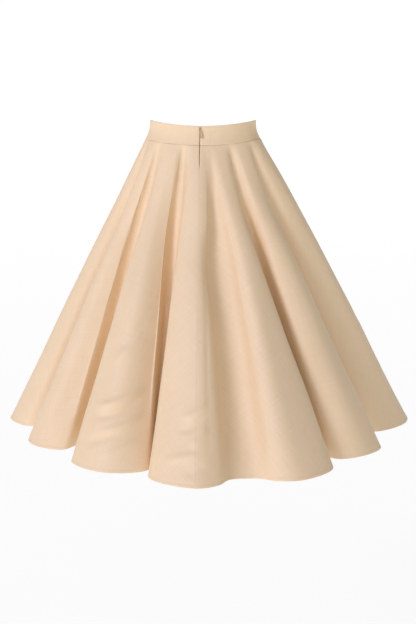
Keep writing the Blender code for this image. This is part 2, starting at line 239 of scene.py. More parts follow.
def line_object(name: str, points: np.ndarray) -> bpy.types.Object:
    """A hidden straight-segment curve through the points, for a tree to sample.

    Args:
        name: Name of the object.
        points: Points along the line, in metres.

    Returns:
        The curve.
    """
    obj = bpy.data.objects.new(name, line_curve(name, [points]))
    bpy.context.scene.collection.objects.link(obj)
    obj.hide_render = True
    return obj


def line_curve(name: str, runs: list[np.ndarray]) -> bpy.types.Curve:
    """Curve data with one straight-segment spline for each run of points.

    Args:
        name: Name of the curve.
        runs: The points of each run, in metres.

    Returns:
        The curve data.
    """
    curve = bpy.data.curves.new(name, "CURVE")
    curve.dimensions = "3D"
    for run in runs:
        spline = curve.splines.new("POLY")
        spline.points.add(len(run) - 1)
        spline.points.foreach_set("co", np.column_stack([run, np.ones(len(run))]).ravel())
    return curve


# --- Finishes ------------------------------------------------------------------------------------


def principled(name: str, colour: Colour) -> tuple[bpy.types.Material, Graph, bpy.types.Node]:
    """A new material with its graph and its Principled shader.

    Args:
        name: Name of the material.
        colour: Its colour in the viewport.

    Returns:
        The material, its graph and its shader.
    """
    material = bpy.data.materials.new(name)
    material.use_nodes = True
    material.diffuse_color = (*colour, 1.0)
    graph = Graph(material.node_tree)
    return material, graph, material.node_tree.nodes["Principled BSDF"]


def flat_cut(graph: Graph) -> tuple[Value, Value, Value]:
    """The piece's own map of its flat cut, whole and as its two directions.

    Args:
        graph: The material's graph.

    Returns:
        The place in the cut, in metres, then its X and its Y.
    """
    cut = graph.out("ShaderNodeUVMap", {"uv_map": CUT_MAP})
    split = graph.node("ShaderNodeSeparateXYZ", None, {"Vector": cut})
    return cut, Value(graph, split.outputs["X"]), Value(graph, split.outputs["Y"])


def streaks(graph: Graph, place: Value, scale: tuple[float, float, float], detail: float) -> Value:
    """Noise drawn out along one direction, from 0 to 1."""
    spot = graph.out("ShaderNodeMapping", {"vector_type": "POINT"}, {"Vector": place, "Scale": scale})
    return graph.out("ShaderNodeTexNoise", None, {"Vector": spot, "Scale": 1.0, "Detail": detail})


def blend_colours(graph: Graph, factor: Value, low: Colour, high: Colour) -> Value:
    """The colour between low and high by a factor."""
    sockets = {0: factor, 6: (*low, 1.0), 7: (*high, 1.0)}
    return graph.out("ShaderNodeMix", {"data_type": "RGBA"}, sockets, 2)


def fix(shader: bpy.types.Node, values: dict[str, object]) -> None:
    """Sets constants on the shader's own inputs."""
    for name, value in values.items():
        shader.inputs[name].default_value = value


def lay_bump(graph: Graph, shader: bpy.types.Node, height: Value, strength: float, depth: float) -> None:
    """Feeds a height into the shader's normal."""
    sockets = {"Height": height, "Strength": strength, "Distance": depth}
    graph.feed(shader, "Normal", graph.out("ShaderNodeBump", None, sockets))


@dataclass(frozen=True)
class SateenFinish:
    """Cotton sateen: fine floats across the grain, a few thicker yarns and a soft sheen."""

    name: str = "cotton_sateen"
    pale: Colour = (0.890, 0.685, 0.440)
    deep: Colour = (0.755, 0.556, 0.325)
    roughness: float = 0.56
    sheen: float = 0.14
    sheen_roughness: float = 0.45
    sheen_tint: Colour = (1.0, 0.88, 0.72)
    specular: float = 0.42
    yarn: float = 0.0005
    float_yarns: int = 5  # a weft float passes over this many warp yarns
    weave_depth: float = 0.00003

    def material(self) -> bpy.types.Material:
        """The cloth's material, laid along the grain of the flat cut.

        Returns:
            The material.
        """
        material, graph, shader = principled(self.name, self.pale)
        cut, warp, weft = flat_cut(graph)
        warp_yarns = streaks(graph, cut, (1400.0, 26.0, 1.0), 2.0)
        weft_yarns = streaks(graph, cut, (22.0, 1700.0, 1.0), 2.0)
        cloudy = streaks(graph, cut, (9.0, 9.0, 1.0), 3.0)
        slubs = streaks(graph, cut, (16.0, 330.0, 1.0), 3.0) + streaks(graph, cut, (260.0, 20.0, 1.0), 3.0)
        tone = (warp_yarns + weft_yarns) * 0.22 + slubs * 0.45 + cloudy * 0.26 - 0.20
        colour = blend_colours(graph, tone, self.deep, self.pale)
        graph.feed(shader, "Base Color", colour)
        graph.feed(shader, "Roughness", self.roughness + (weft_yarns - 0.5) * 0.16)
        fix(shader, {"Sheen Weight": self.sheen, "Sheen Roughness": self.sheen_roughness})
        fix(shader, {"Sheen Tint": (*self.sheen_tint, 1.0), "Specular IOR Level": self.specular})
        twill = (warp / self.float_yarns + weft).wave(self.yarn)
        floats = warp.wave(self.yarn) * 0.35 + twill * 0.45
        height = floats + (warp_yarns + weft_yarns) * 1.6
        lay_bump(graph, shader, height, 0.5, self.weave_depth)
        return material


@dataclass(frozen=True)
class TapeFinish:
    """Woven polyester tape with ribs along its length."""

    name: str = "zip_tape_weave"
    pale: Colour = (0.70, 0.52, 0.37)
    deep: Colour = (0.58, 0.42, 0.29)
    rib: float = 0.0009
    pick: float = 0.0006

    def material(self) -> bpy.types.Material:
        """The tape's material, laid along the tape.

        Returns:
            The material.
        """
        material, graph, shader = principled(self.name, self.pale)
        cut, across, along = flat_cut(graph)
        ribs = across.wave(self.rib)
        weave = ribs * 0.5 + ribs * along.wave(self.pick) * 0.5
        fuzz = streaks(graph, cut, (300.0, 900.0, 1.0), 2.0)
        colour = blend_colours(graph, weave * 0.35 + fuzz, self.deep, self.pale)
        graph.feed(shader, "Base Color", colour)
        graph.feed(shader, "Roughness", 0.72 + weave * 0.06)
        lay_bump(graph, shader, weave + fuzz, 0.6, 0.00008)
        return material


@dataclass(frozen=True)
class ThreadFinish:
    """Spun thread, or the nylon wire of the zip's teeth."""

    name: str
    pale: Colour
    deep: Colour
    roughness: float
    twist: float  # length of one twist, in metres

    def material(self) -> bpy.types.Material:
        """The thread's material, on its own place in space.

        Returns:
            The material.
        """
        material, graph, shader = principled(self.name, self.pale)
        place = graph.out("ShaderNodeTexCoord", None, None, "Object")
        size = 1.0 / self.twist
        fibres = streaks(graph, place, (size, size, size), 3.0)
        colour = blend_colours(graph, fibres, self.deep, self.pale)
        graph.feed(shader, "Base Color", colour)
        graph.feed(shader, "Roughness", self.roughness + (fibres - 0.5) * 0.2)
        lay_bump(graph, shader, fibres, 0.4, 0.25 * self.twist)
        return material


@dataclass(frozen=True)
class EnamelFinish:
    """Metal under a baked enamel that is dyed to match the cloth."""

    name: str = "dyed_enamel"
    pale: Colour = (0.66, 0.46, 0.27)
    deep: Colour = (0.46, 0.30, 0.17)

    def material(self) -> bpy.types.Material:
        """The enamel's material, with a slight orange peel.

        Returns:
            The material.
        """
        material, graph, shader = principled(self.name, self.pale)
        place = graph.out("ShaderNodeTexCoord", None, None, "Object")
        peel = streaks(graph, place, (2500.0, 2500.0, 2500.0), 2.0)
        stain = streaks(graph, place, (400.0, 400.0, 400.0), 3.0)
        colour = blend_colours(graph, stain, self.deep, self.pale)
        graph.feed(shader, "Base Color", colour)
        graph.feed(shader, "Roughness", 0.30 + stain * 0.16)
        fix(shader, {"Metallic": 0.35, "Coat Weight": 0.3})
        lay_bump(graph, shader, peel, 0.3, 0.00003)
        return material


# --- The lines that the cloth hangs between ---------------------------------------------------------


@dataclass(frozen=True)
class Fold:
    """One fold at the hem in plan, in degrees from the centre back (+ to the right) and metres."""

    name: str
    left: float
    left_r: float
    crest: float
    crest_r: float
    right: float
    right_r: float
    valley: float  # parts this fold from the next one
    valley_r: float
    floor: float  # width of the valley's floor

    def knots(self) -> list[tuple[float, float]]:
        """The five points of the hem on this fold, as degrees and radius.

        Returns:
            Degrees from the centre back and metres from the axis, point by point.
        """
        half = math.degrees(self.floor / 2.0 / self.valley_r)
        return [
            (self.left, self.left_r),
            (self.crest, self.crest_r),
            (self.right, self.right_r),
            (self.valley - half, self.valley_r),
            (self.valley + half, self.valley_r),
        ]


FOLDS: tuple[Fold, ...] = (
    Fold("side_left", -98.0, 0.425, -91.0, 0.462, -81.0, 0.418, -76.0, 0.335, 0.030),
    Fold("back_1", -68.0, 0.418, -59.0, 0.425, -50.5, 0.384, -51.5, 0.320, 0.030),
    Fold("back_2", -40.0, 0.424, -27.0, 0.440, -16.0, 0.392, -18.0, 0.305, 0.028),
    Fold("back_3", -14.0, 0.439, -1.5, 0.485, 4.0, 0.468, 10.6, 0.436, 0.044),
    Fold("back_4", 18.5, 0.466, 24.5, 0.481, 36.5, 0.450, 41.0, 0.325, 0.028),
    Fold("back_5", 42.5, 0.416, 51.0, 0.447, 60.6, 0.446, 66.0, 0.330, 0.030),
    Fold("side_right", 75.0, 0.420, 86.0, 0.480, 94.0, 0.480, 99.0, 0.320, 0.030),
    Fold("front_1", 103.0, 0.424, 111.0, 0.466, 119.0, 0.436, 122.5, 0.312, 0.032),
    Fold("front_2", 127.0, 0.424, 138.0, 0.468, 150.0, 0.446, 153.0, 0.322, 0.030),
    Fold("front_3", 157.0, 0.436, 166.0, 0.462, 175.5, 0.448, 182.0, 0.400, 0.026),
    Fold("front_4", 188.5, 0.446, 198.0, 0.470, 208.0, 0.438, 210.5, 0.305, 0.030),
    Fold("front_5", 214.5, 0.424, 222.5, 0.454, 230.5, 0.428, 234.0, 0.318, 0.032),
    Fold("front_6", 238.0, 0.430, 246.5, 0.462, 255.0, 0.432, 258.0, 0.318, 0.030),
)
KNOTS_PER_FOLD = 5
CREST, FLOOR_START, FLOOR_END = 1, 3, 4
CENTRE_BACK = 3 * KNOTS_PER_FOLD + CREST  # knots, counted round from the first fold
RIGHT_SIDE = 6 * KNOTS_PER_FOLD + FLOOR_START
LEFT_SIDE = 12 * KNOTS_PER_FOLD + FLOOR_END


def running_lengths(points: np.ndarray) -> np.ndarray:
    """Distance along a run of points, up to each of them."""
    return np.concatenate([[0.0], np.cumsum(np.linalg.norm(np.diff(points, axis=0), axis=1))])


@dataclass
class WaistLine:
    """The oval waist, its dips at the back and the front, and the waistband's flare."""

    half_width: float = 0.1200
    half_depth: float = 0.0850
    band_height: float = 0.0415
    back_dip: float = 0.0125
    front_dip: float = 0.0180
    turn: float = math.radians(-3.0)  # of the centre back
    seam_flare: float = 0.0100
    flare_start: float = 0.20  # part of the band's height that stands straight
    flare_power: float = 1.7

    def flare(self, down: np.ndarray) -> np.ndarray:
        """How far the band stands out, by the part of its height from the top."""
        below = np.clip((down - self.flare_start) / (1.0 - self.flare_start), 0.0, 1.0)
        return self.seam_flare * below**self.flare_power

    def points(self, angles: np.ndarray, down: np.ndarray) -> np.ndarray:
        """Points of the band's outer face.

        Args:
            angles: Angles from the centre back, in radians.
            down: Part of the band's height, from its top edge.

        Returns:
            The points, with their three coordinates in the last place.
        """
        angles, down = np.broadcast_arrays(angles, down)
        flare = self.flare(down)
        lean = np.cos(angles)
        dip = np.where(lean > 0.0, self.back_dip, self.front_dip) * lean**2
        x = (self.half_width + flare) * np.sin(angles)
        y = -(self.half_depth + flare) * np.cos(angles)
        return np.stack([x, y, -down * self.band_height - dip], axis=-1)

    def pace(self, angle: float, down: np.ndarray) -> np.ndarray:
        """Metres to a radian near this angle, at each part of the band's height.

        Args:
            angle: Angle from the centre back, in radians.
            down: Part of the band's height, from its top edge.

        Returns:
            The length of a radian at each of them.
        """
        step = 0.001
        chord = self.points(np.full(len(down), angle + step), down)
        chord = chord - self.points(np.full(len(down), angle - step), down)
        return np.linalg.norm(chord, axis=-1) / (2 * step)

    def seam(self, steps: int = 1440) -> tuple[np.ndarray, np.ndarray]:
        """The waist seam once round from the centre back: its angles and points."""
        angles = self.turn + np.linspace(0.0, TURN, steps + 1)
        return angles, self.points(angles, np.ones(steps + 1))


@dataclass
class HemLine:
    """The hem's curve through the folds' knots."""

    height: float = -0.6990
    steps: int = 32  # points between two knots

    def knots(self) -> np.ndarray:
        """All knots, in order round the hem.

        Returns:
            The knots as points in space, in metres.
        """
        polar = np.array([knot for fold in FOLDS for knot in fold.knots()])
        angle, radius = np.radians(polar[:, 0]), polar[:, 1]
        x, y = radius * np.sin(angle), -radius * np.cos(angle)
        return np.stack([x, y, np.full(len(x), self.height)], axis=1)

    def loop(self) -> np.ndarray:
        """The hem once round from the centre back, on centripetal Catmull-Rom curves.

        Returns:
            The points of the closed curve, in metres.
        """
        knots = np.roll(self.knots(), -CENTRE_BACK, axis=0)
        u = (np.arange(self.steps) / self.steps)[:, None]
        runs = []
        for i in range(len(knots)):
            p0, p1, p2, p3 = (knots[(i + k) % len(knots)] for k in (-1, 0, 1, 2))
            a, b, c = (math.sqrt(np.linalg.norm(q - p)) for p, q in ((p0, p1), (p1, p2), (p2, p3)))
            start = ((p1 - p0) / a - (p2 - p0) / (a + b) + (p2 - p1) / b) * b
            end = ((p2 - p1) / b - (p3 - p1) / (b + c) + (p3 - p2) / c) * b
            here = p1 * (2 * u**3 - 3 * u**2 + 1) + start * (u**3 - 2 * u**2 + u)
            runs.append(here + p2 * (3 * u**2 - 2 * u**3) + end * (u**3 - u**2))
        loop = np.concatenate(runs)
        return np.concatenate([loop, loop[:1]])


class HangingRing:
    """The flat ring of cloth as it hangs, in straight lines from the waist seam to the hem.

    A share is a part of the way round from the centre back to the right, and it is the same at
    the waist seam and at the hem. A fall is a part of the way down.
    """

    def __init__(self, waist: WaistLine, hem: HemLine) -> None:
        """Measures the two lines.

        Args:
            waist: The line of the waist.
            hem: The line of the hem.
        """
        self.waist = waist
        self.seam_angles, self.seam_loop = waist.seam()
        self.hem_loop = hem.loop()
        seam, around = running_lengths(self.seam_loop), running_lengths(self.hem_loop)
        self.seam_shares, self.hem_shares = seam / seam[-1], around / around[-1]
        self.knot_shares = np.roll(self.hem_shares[:-1 : hem.steps], CENTRE_BACK)
        self.inner_radius = seam[-1] / TURN
        shares = np.linspace(0.0, 1.0, 400, endpoint=False)
        drops = self.at(shares, np.ones(400)) - self.at(shares, np.zeros(400))
        self.length = float(np.linalg.norm(drops, axis=1).mean())

    def at(self, shares: np.ndarray, falls: np.ndarray) -> np.ndarray:
        """The cloth's points at these shares and falls.

        Args:
            shares: Shares of the way round, from the centre back.
            falls: Parts of the way from the waist seam to the hem.

        Returns:
            Points in space, in metres.
        """
        shares, falls = np.broadcast_arrays(np.asarray(shares) % 1.0, falls)
        top = [np.interp(shares, self.seam_shares, self.seam_loop[:, k]) for k in range(3)]
        low = [np.interp(shares, self.hem_shares, self.hem_loop[:, k]) for k in range(3)]
        falls = np.asarray(falls)[..., None]
        return np.stack(top, axis=-1) * (1.0 - falls) + np.stack(low, axis=-1) * falls

    def pace(self, share: float, falls: np.ndarray) -> np.ndarray:
        """Metres of cloth to one whole share, near this share, at each fall.

        Args:
            share: Share of the way round.
            falls: Parts of the way from the waist seam to the hem.

        Returns:
            The length at each fall, in metres.
        """
        step = 0.0005
        chord = self.at(share + step, falls) - self.at(share - step, falls)
        return np.linalg.norm(chord, axis=-1) / (2 * step)

    def seam_angle(self, share: float) -> float:
        """The angle of a share at the waist seam."""
        return float(np.interp(share, self.seam_shares, self.seam_angles))

    def share_on_fold(self, name: str, across: float) -> float:
        """The share of a place on a fold: -1 its left shoulder, 0 its crest, 1 its right shoulder.

        Beyond 1 it runs on down the valley's wall, and 2 is the valley's middle.

        Args:
            name: The fold.
            across: Place across the fold.

        Returns:
            The share of the way round.
        """
        first = [fold.name for fold in FOLDS].index(name) * KNOTS_PER_FOLD
        left, crest, right, start, end = self.knot_shares[first : first + KNOTS_PER_FOLD]
        back = (left - crest + 0.5) % 1.0 - 0.5
        ahead = (right - crest + 0.5) % 1.0 - 0.5
        floor = ((start + end) / 2.0 - crest + 0.5) % 1.0 - 0.5
        steps = (2.0 * back, back, 0.0, ahead, floor)
        return (crest + float(np.interp(across, (-2, -1, 0, 1, 2), steps))) % 1.0

    def flat(self, shares: np.ndarray, downs: np.ndarray, centre: float = 0.0) -> np.ndarray:
        """Places in the flat ring, in metres, with the share centre straight up.

        Args:
            shares: Shares of the way round, from the centre back.
            downs: Distances down from the waist seam, in metres.
            centre: The share that is straight up.

        Returns:
            The places in the flat cut.
        """
        angle = TURN * (shares - centre)
        radius = self.inner_radius + downs
        return np.stack([radius * np.sin(angle), radius * np.cos(angle)], axis=-1)


# --- Wrinkles --------------------------------------------------------------------------------------


def bell(distance: np.ndarray, width: float) -> np.ndarray:
    """A soft hump, 1 in its middle."""
    return np.exp(-((distance / width) ** 2))


def ease(value: np.ndarray) -> np.ndarray:
    """A smooth step from 0 to 1."""
    value = np.clip(value, 0.0, 1.0)
    return value * value * (3.0 - 2.0 * value)


def beside_line(place: np.ndarray, start: np.ndarray, end: np.ndarray) -> tuple[np.ndarray, np.ndarray]:
    """Measures places of a flat cut against a straight line.

    Args:
        place: The places.
        start: Where the line starts.
        end: Where it ends.

    Returns:
        Each place's part of the way along the line, and its distance to the side of it.
    """
    way = end - start
    length = float(np.linalg.norm(way))
    along = ((place - start) @ way) / length**2
    return along, ((place - start) @ np.array([-way[1], way[0]])) / length


@dataclass(frozen=True)
class Wrinkle:
    """A soft ridge, or a trough if its height is negative, between two places on one fold."""

    fold: str
    across: tuple[float, float]
    down: tuple[float, float]
    width: float
    height: float
    bow: float = 0.0

    def heights(self, ring: HangingRing, place: np.ndarray) -> np.ndarray:
        """How far it lifts each place of the flat ring.

        Args:
            ring: The hanging cloth between the waist seam and the hem.
            place: Places in the flat ring, in metres.

        Returns:
            The height at each place, in metres.
        """
        shares = np.array([ring.share_on_fold(self.fold, a) for a in self.across])
        along, side = beside_line(place, *ring.flat(shares, np.array(self.down)))
        side = side - self.bow * 4.0 * along * (1.0 - along)
        fade = ease(along / 0.35 + 0.15) * ease((1.0 - along) / 0.35 + 0.15)
        return self.height * bell(side, self.width) * fade


def pucker(fold: str, length: float, width: float, depth: float) -> Wrinkle:
    """The trough that the valley after a fold starts with, under the waist seam."""
    return Wrinkle(fold, (2.0, 2.0), (-0.004, length), width, -depth)


PUCKERS: tuple[Wrinkle, ...] = (
    pucker("side_left", 0.120, 0.010, 0.0030),
    pucker("back_1", 0.135, 0.012, 0.0034),
    pucker("back_2", 0.110, 0.010, 0.0034),
    pucker("back_3", 0.150, 0.011, 0.0030),
    pucker("back_4", 0.120, 0.010, 0.0032),
    pucker("back_5", 0.140, 0.010, 0.0030),
    pucker("side_right", 0.110, 0.010, 0.0030),
    pucker("front_1", 0.140, 0.011, 0.0032),
    pucker("front_2", 0.105, 0.010, 0.0034),
    pucker("front_3", 0.150, 0.012, 0.0026),
    pucker("front_4", 0.120, 0.010, 0.0034),
    pucker("front_5", 0.130, 0.010, 0.0030),
    pucker("front_6", 0.110, 0.010, 0.0032),
)
# Drag wrinkles lie across a fold, and most of them rise towards its right shoulder.
DRAG_WRINKLES: tuple[Wrinkle, ...] = (
    Wrinkle("back_1", (0.55, 0.95), (0.700, 0.640), 0.007, 0.0017),
    Wrinkle("back_1", (0.20, 0.70), (0.640, 0.585), 0.009, -0.0015),
    Wrinkle("back_2", (-0.35, 0.38), (0.500, 0.418), 0.008, 0.0026),
    Wrinkle("back_2", (-0.20, 0.45), (0.468, 0.395), 0.007, -0.0020),
    Wrinkle("back_2", (-0.60, 0.68), (0.590, 0.535), 0.008, 0.0032, 0.010),
    Wrinkle("back_2", (-0.55, 0.60), (0.612, 0.560), 0.007, -0.0027, 0.010),
    Wrinkle("back_2", (-0.31, 0.72), (0.640, 0.587), 0.007, 0.0030, 0.008),
    Wrinkle("back_2", (-0.60, 0.30), (0.668, 0.630), 0.008, -0.0023),
    Wrinkle("back_2", (-0.10, 0.68), (0.690, 0.640), 0.007, 0.0023),
    Wrinkle("back_3", (0.10, 0.95), (0.040, 0.170), 0.006, -0.0014),
    Wrinkle("back_3", (-0.75, -0.45), (0.075, 0.220), 0.007, -0.0024),
    Wrinkle("back_3", (0.93, 0.60), (0.180, 0.520), 0.004, -0.0012),
    Wrinkle("back_3", (0.60, 0.57), (0.400, 0.690), 0.004, -0.0012),
    Wrinkle("back_3", (-0.33, 0.59), (0.585, 0.545), 0.008, 0.0026, 0.008),
    Wrinkle("back_3", (-0.40, 0.50), (0.612, 0.572), 0.007, -0.0023, 0.008),
    Wrinkle("back_3", (-0.09, 0.63), (0.642, 0.600), 0.007, 0.0026),
    Wrinkle("back_3", (-0.65, 0.20), (0.672, 0.650), 0.008, 0.0020),
    Wrinkle("back_3", (-0.20, 0.49), (0.695, 0.668), 0.008, -0.0020),
    Wrinkle("back_4", (-0.50, 0.30), (0.420, 0.360), 0.011, 0.0008),
    Wrinkle("back_4", (-0.20, 0.60), (0.640, 0.600), 0.009, -0.0007),
    Wrinkle("back_5", (-0.40, 0.40), (0.560, 0.520), 0.009, 0.0008),
    Wrinkle("back_5", (-0.60, 0.10), (0.660, 0.635), 0.008, -0.0009),
    Wrinkle("side_right", (-0.30, 0.50), (0.600, 0.555), 0.009, 0.0010),
    Wrinkle("side_right", (-0.10, 0.70), (0.480, 0.425), 0.008, -0.0008),
    Wrinkle("front_1", (-0.40, 0.60), (0.655, 0.600), 0.008, 0.0011, 0.008),
    Wrinkle("front_1", (-0.30, 0.50), (0.676, 0.628), 0.007, -0.0010),
    Wrinkle("front_2", (-0.50, 0.20), (0.450, 0.400), 0.008, 0.0009),
    Wrinkle("front_2", (-0.20, 0.70), (0.560, 0.500), 0.009, -0.0010, 0.010),
    Wrinkle("front_3", (0.60, -0.30), (0.540, 0.590), 0.008, 0.0012, -0.008),
    Wrinkle("front_3", (0.70, -0.10), (0.575, 0.620), 0.007, -0.0010),
    Wrinkle("front_3", (0.50, -0.50), (0.620, 0.665), 0.008, 0.0010),
    Wrinkle("front_4", (0.60, -0.60), (0.380, 0.450), 0.009, 0.0010),
    Wrinkle("front_4", (0.40, -0.40), (0.640, 0.685), 0.008, -0.0011),
    Wrinkle("front_5", (0.50, -0.40), (0.510, 0.560), 0.008, 0.0011, -0.008),
    Wrinkle("front_5", (0.60, -0.20), (0.545, 0.590), 0.007, -0.0009),
    Wrinkle("front_6", (0.40, -0.60), (0.600, 0.650), 0.009, 0.0010),
)
# Flutes are long ridges and hollows that run down a fold, so each fold has its own section.
FLUTES: tuple[Wrinkle, ...] = (
    Wrinkle("back_1", (0.95, 0.80), (0.040, 0.760), 0.044, -0.0150),
    Wrinkle("back_1", (-0.20, -0.20), (0.200, 0.740), 0.034, 0.0040),
    Wrinkle("back_2", (1.10, 0.85), (0.040, 0.730), 0.040, -0.0150),
    Wrinkle("back_2", (-0.30, -0.30), (0.200, 0.760), 0.040, 0.0050),
    Wrinkle("back_3", (1.60, 1.60), (0.020, 0.400), 0.022, -0.0060),
    Wrinkle("back_4", (-2.10, -2.10), (0.060, 0.800), 0.040, -0.0220),
    Wrinkle("back_4", (-0.70, -0.70), (0.150, 0.740), 0.034, 0.0050),
    Wrinkle("back_4", (1.15, 1.15), (0.040, 0.560), 0.022, -0.0050),
    Wrinkle("back_5", (-0.20, -0.20), (0.080, 0.760), 0.038, 0.0090),
    Wrinkle("back_5", (1.10, 1.10), (0.050, 0.600), 0.028, -0.0060),
    Wrinkle("back_5", (1.60, 1.50), (0.200, 0.760), 0.024, -0.0140),
    Wrinkle("side_right", (0.00, 0.00), (-0.060, 0.660), 0.050, 0.0095),
    Wrinkle("front_1", (1.00, 1.00), (0.050, 0.600), 0.022, -0.0045),
    Wrinkle("front_2", (-0.90, -0.90), (0.060, 0.560), 0.024, -0.0050),
    Wrinkle("front_3", (1.60, 1.60), (0.040, 0.620), 0.024, -0.0060),
    Wrinkle("front_4", (0.95, 0.95), (0.050, 0.580), 0.022, -0.0050),
    Wrinkle("front_5", (-1.00, -1.00), (0.040, 0.600), 0.022, -0.0045),
)
WRINKLES = PUCKERS + DRAG_WRINKLES + FLUTES


# --- Cloth walls ------------------------------------------------------------------------------------


class Lip(Enum):
    """Which side edge of a piece of cloth is one lip of the zip's slit."""

    NONE = "none"
    FIRST = "first"
    LAST = "last"


@dataclass
class Slit:
    """The slit between the two lips of the zip, and the seam that it runs into."""

    downs: tuple[float, ...] = (0.000, 0.043, 0.080, 0.097)
    widths: tuple[float, ...] = (0.0022, 0.0019, 0.0013, 0.0001)

    def width(self, down: np.ndarray) -> np.ndarray:
        """Its width by the distance down from the band's top edge."""
        return np.interp(down, self.downs, self.widths)


SEAM_GAP = 0.0001
SLIT = Slit()
EDGE = np.array((0.0, 0.0003, 0.0008, 0.0018, 0.0038))  # stations beside a side edge


def spread(length: float, step: float, head: tuple[float, ...], tail: tuple[float, ...]) -> np.ndarray:
    """Stations along a length, with close ones at both ends.

    Args:
        length: The whole length.
        step: The wanted spacing between the ends.
        head: Stations at the start.
        tail: Stations at the end, as distances back from it.

    Returns:
        The stations in order.
    """
    start, end = head[-1], length - tail[-1]
    middle = np.linspace(start, end, round((end - start) / step) + 1)[1:-1]
    return np.concatenate([head, middle, length - np.array(tail[::-1])])


def side_gap(lip: Lip, side: Lip, downs: np.ndarray) -> np.ndarray:
    """The gap to the next piece at a side edge, by the distance down from the band's top edge."""
    return SLIT.width(downs) if lip is side else np.full(len(downs), SEAM_GAP)


def side_columns(
    ends: tuple[float, float], paces: tuple[np.ndarray, np.ndarray], lip: Lip, downs: np.ndarray
) -> tuple[np.ndarray, np.ndarray]:
    """The close columns beside both side edges of a piece, clear of the pieces next to it.

    Args:
        ends: Where the piece starts and ends, as shares or angles.
        paces: Metres to a whole share or radian at each end, row by row.
        lip: Which side edge is a lip of the slit.
        downs: Each row's distance down from the band's top edge.

    Returns:
        The first columns and the last ones, as shares or angles.
    """
    before = side_gap(lip, Lip.FIRST, downs)[:, None] / 2.0 + EDGE
    after = side_gap(lip, Lip.LAST, downs)[:, None] / 2.0 + EDGE[::-1]
    return ends[0] + before / paces[0][:, None], ends[1] - after / paces[1][:, None]


def fill_columns(first: np.ndarray, last: np.ndarray, count: int) -> np.ndarray:
    """Columns from the stations at one side edge to those at the other, row by row.

    Args:
        first: The close columns at one side edge.
        last: Those at the other.
        count: How many columns lie between them.

    Returns:
        All the columns of each row.
    """
    t = np.linspace(0.0, 1.0, count + 2)[1:-1]
    middle = first[:, -1:] * (1.0 - t) + last[:, :1] * t
    return np.hstack([first, middle, last])


def outward(points: np.ndarray) -> np.ndarray:
    """The outward direction at each point of a grid whose rows run down the cloth."""
    normals = np.cross(np.gradient(points, axis=0), np.gradient(points, axis=1))
    return normals / np.linalg.norm(normals, axis=-1, keepdims=True)


def edge_distances(points: np.ndarray) -> tuple[np.ndarray, np.ndarray]:
    """Distance of each point of a grid from its first and from its last column.

    Args:
        points: A grid of points, in rows.

    Returns:
        The two distances, in metres.
    """
    steps = np.linalg.norm(np.diff(points, axis=1), axis=-1)
    before = np.concatenate([np.zeros((len(points), 1)), np.cumsum(steps, axis=1)], axis=1)
    return before, before[:, -1:] - before


def rounding(distance: np.ndarray, thickness: float) -> np.ndarray:
    """How far a rounded edge draws both faces of the cloth towards each other.

    Args:
        distance: Distance from the edge, in metres.
        thickness: The cloth's thickness.

    Returns:
        How far each face is drawn in, in metres.
    """
    radius = thickness / 2.0
    short = np.clip(radius - distance, 0.0, radius)
    return radius - np.sqrt(radius**2 - short**2)


def rolled(distance: np.ndarray, reach: float, depth: float) -> np.ndarray:
    """How far cloth turns inward beside a seam."""
    return depth * np.clip(1.0 - distance / reach, 0.0, 1.0) ** 2


def add_quads(tall: int, wide: int, start: int, turned: bool) -> np.ndarray:
    """Quads of a grid whose corners are numbered row by row from start.

    Args:
        tall: Rows of the grid.
        wide: Columns of the grid.
        start: Number of its first point.
        turned: Whether the faces look the other way.

    Returns:
        The corners of each quad.
    """
    corner = (np.arange(tall - 1)[:, None] * wide + np.arange(wide - 1)).ravel() + start
    quads = np.stack([corner, corner + wide, corner + wide + 1, corner + 1], axis=1)
    return quads[:, ::-1] if turned else quads


def shell(
    name: str, outer: np.ndarray, inner: np.ndarray, cut: np.ndarray, material: bpy.types.Material
) -> bpy.types.Object:
    """A closed wall of cloth between an outer and an inner grid.

    Args:
        name: The piece's name.
        outer: Points of the outer face, in rows down and columns across.
        inner: Points of the inner face.
        cut: Each point's place in the flat cut.
        material: The cloth's material.

    Returns:
        The piece, with its flat cut as its UV map.
    """
    tall, wide = outer.shape[:2]
    rim = list(range(wide)) + [r * wide + wide - 1 for r in range(1, tall)]
    rim += [(tall - 1) * wide + c for c in range(wide - 2, -1, -1)]
    rim += [r * wide for r in range(tall - 2, 0, -1)]
    here = np.array(rim)
    there = np.roll(here, -1)
    inside = tall * wide
    sides = np.stack([here, there, there + inside, here + inside], axis=1)
    faces = np.concatenate([add_quads(tall, wide, 0, False), add_quads(tall, wide, inside, True), sides])
    points = np.concatenate([outer.reshape(-1, 3), inner.reshape(-1, 3)])
    mesh = bpy.data.meshes.new(name)
    mesh.from_pydata(points.tolist(), [], faces.tolist())
    mesh.shade_smooth()
    layer = mesh.uv_layers.new(name=CUT_MAP)
    flat = np.concatenate([cut.reshape(-1, 2), cut.reshape(-1, 2)])
    layer.data.foreach_set("uv", flat[faces.ravel()].astype(np.float32).ravel())
    mesh.materials.append(material)
    return link_mesh(name, mesh)


def tie(
    piece: bpy.types.Object,
    node: str,
    body: str = "skirt",
    stitches: bpy.types.Object | None = None,
) -> None:
    """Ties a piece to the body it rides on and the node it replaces.

    Args:
        piece: The piece.
        node: The node that it replaces.
        body: The body that it rides on.
        stitches: Stitches that are sewn through it, if it has any.
    """
    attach(piece, body)
    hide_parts(node)
    if stitches is not None:
        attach(stitches, body)


# --- Skirt panels -----------------------------------------------------------------------------------


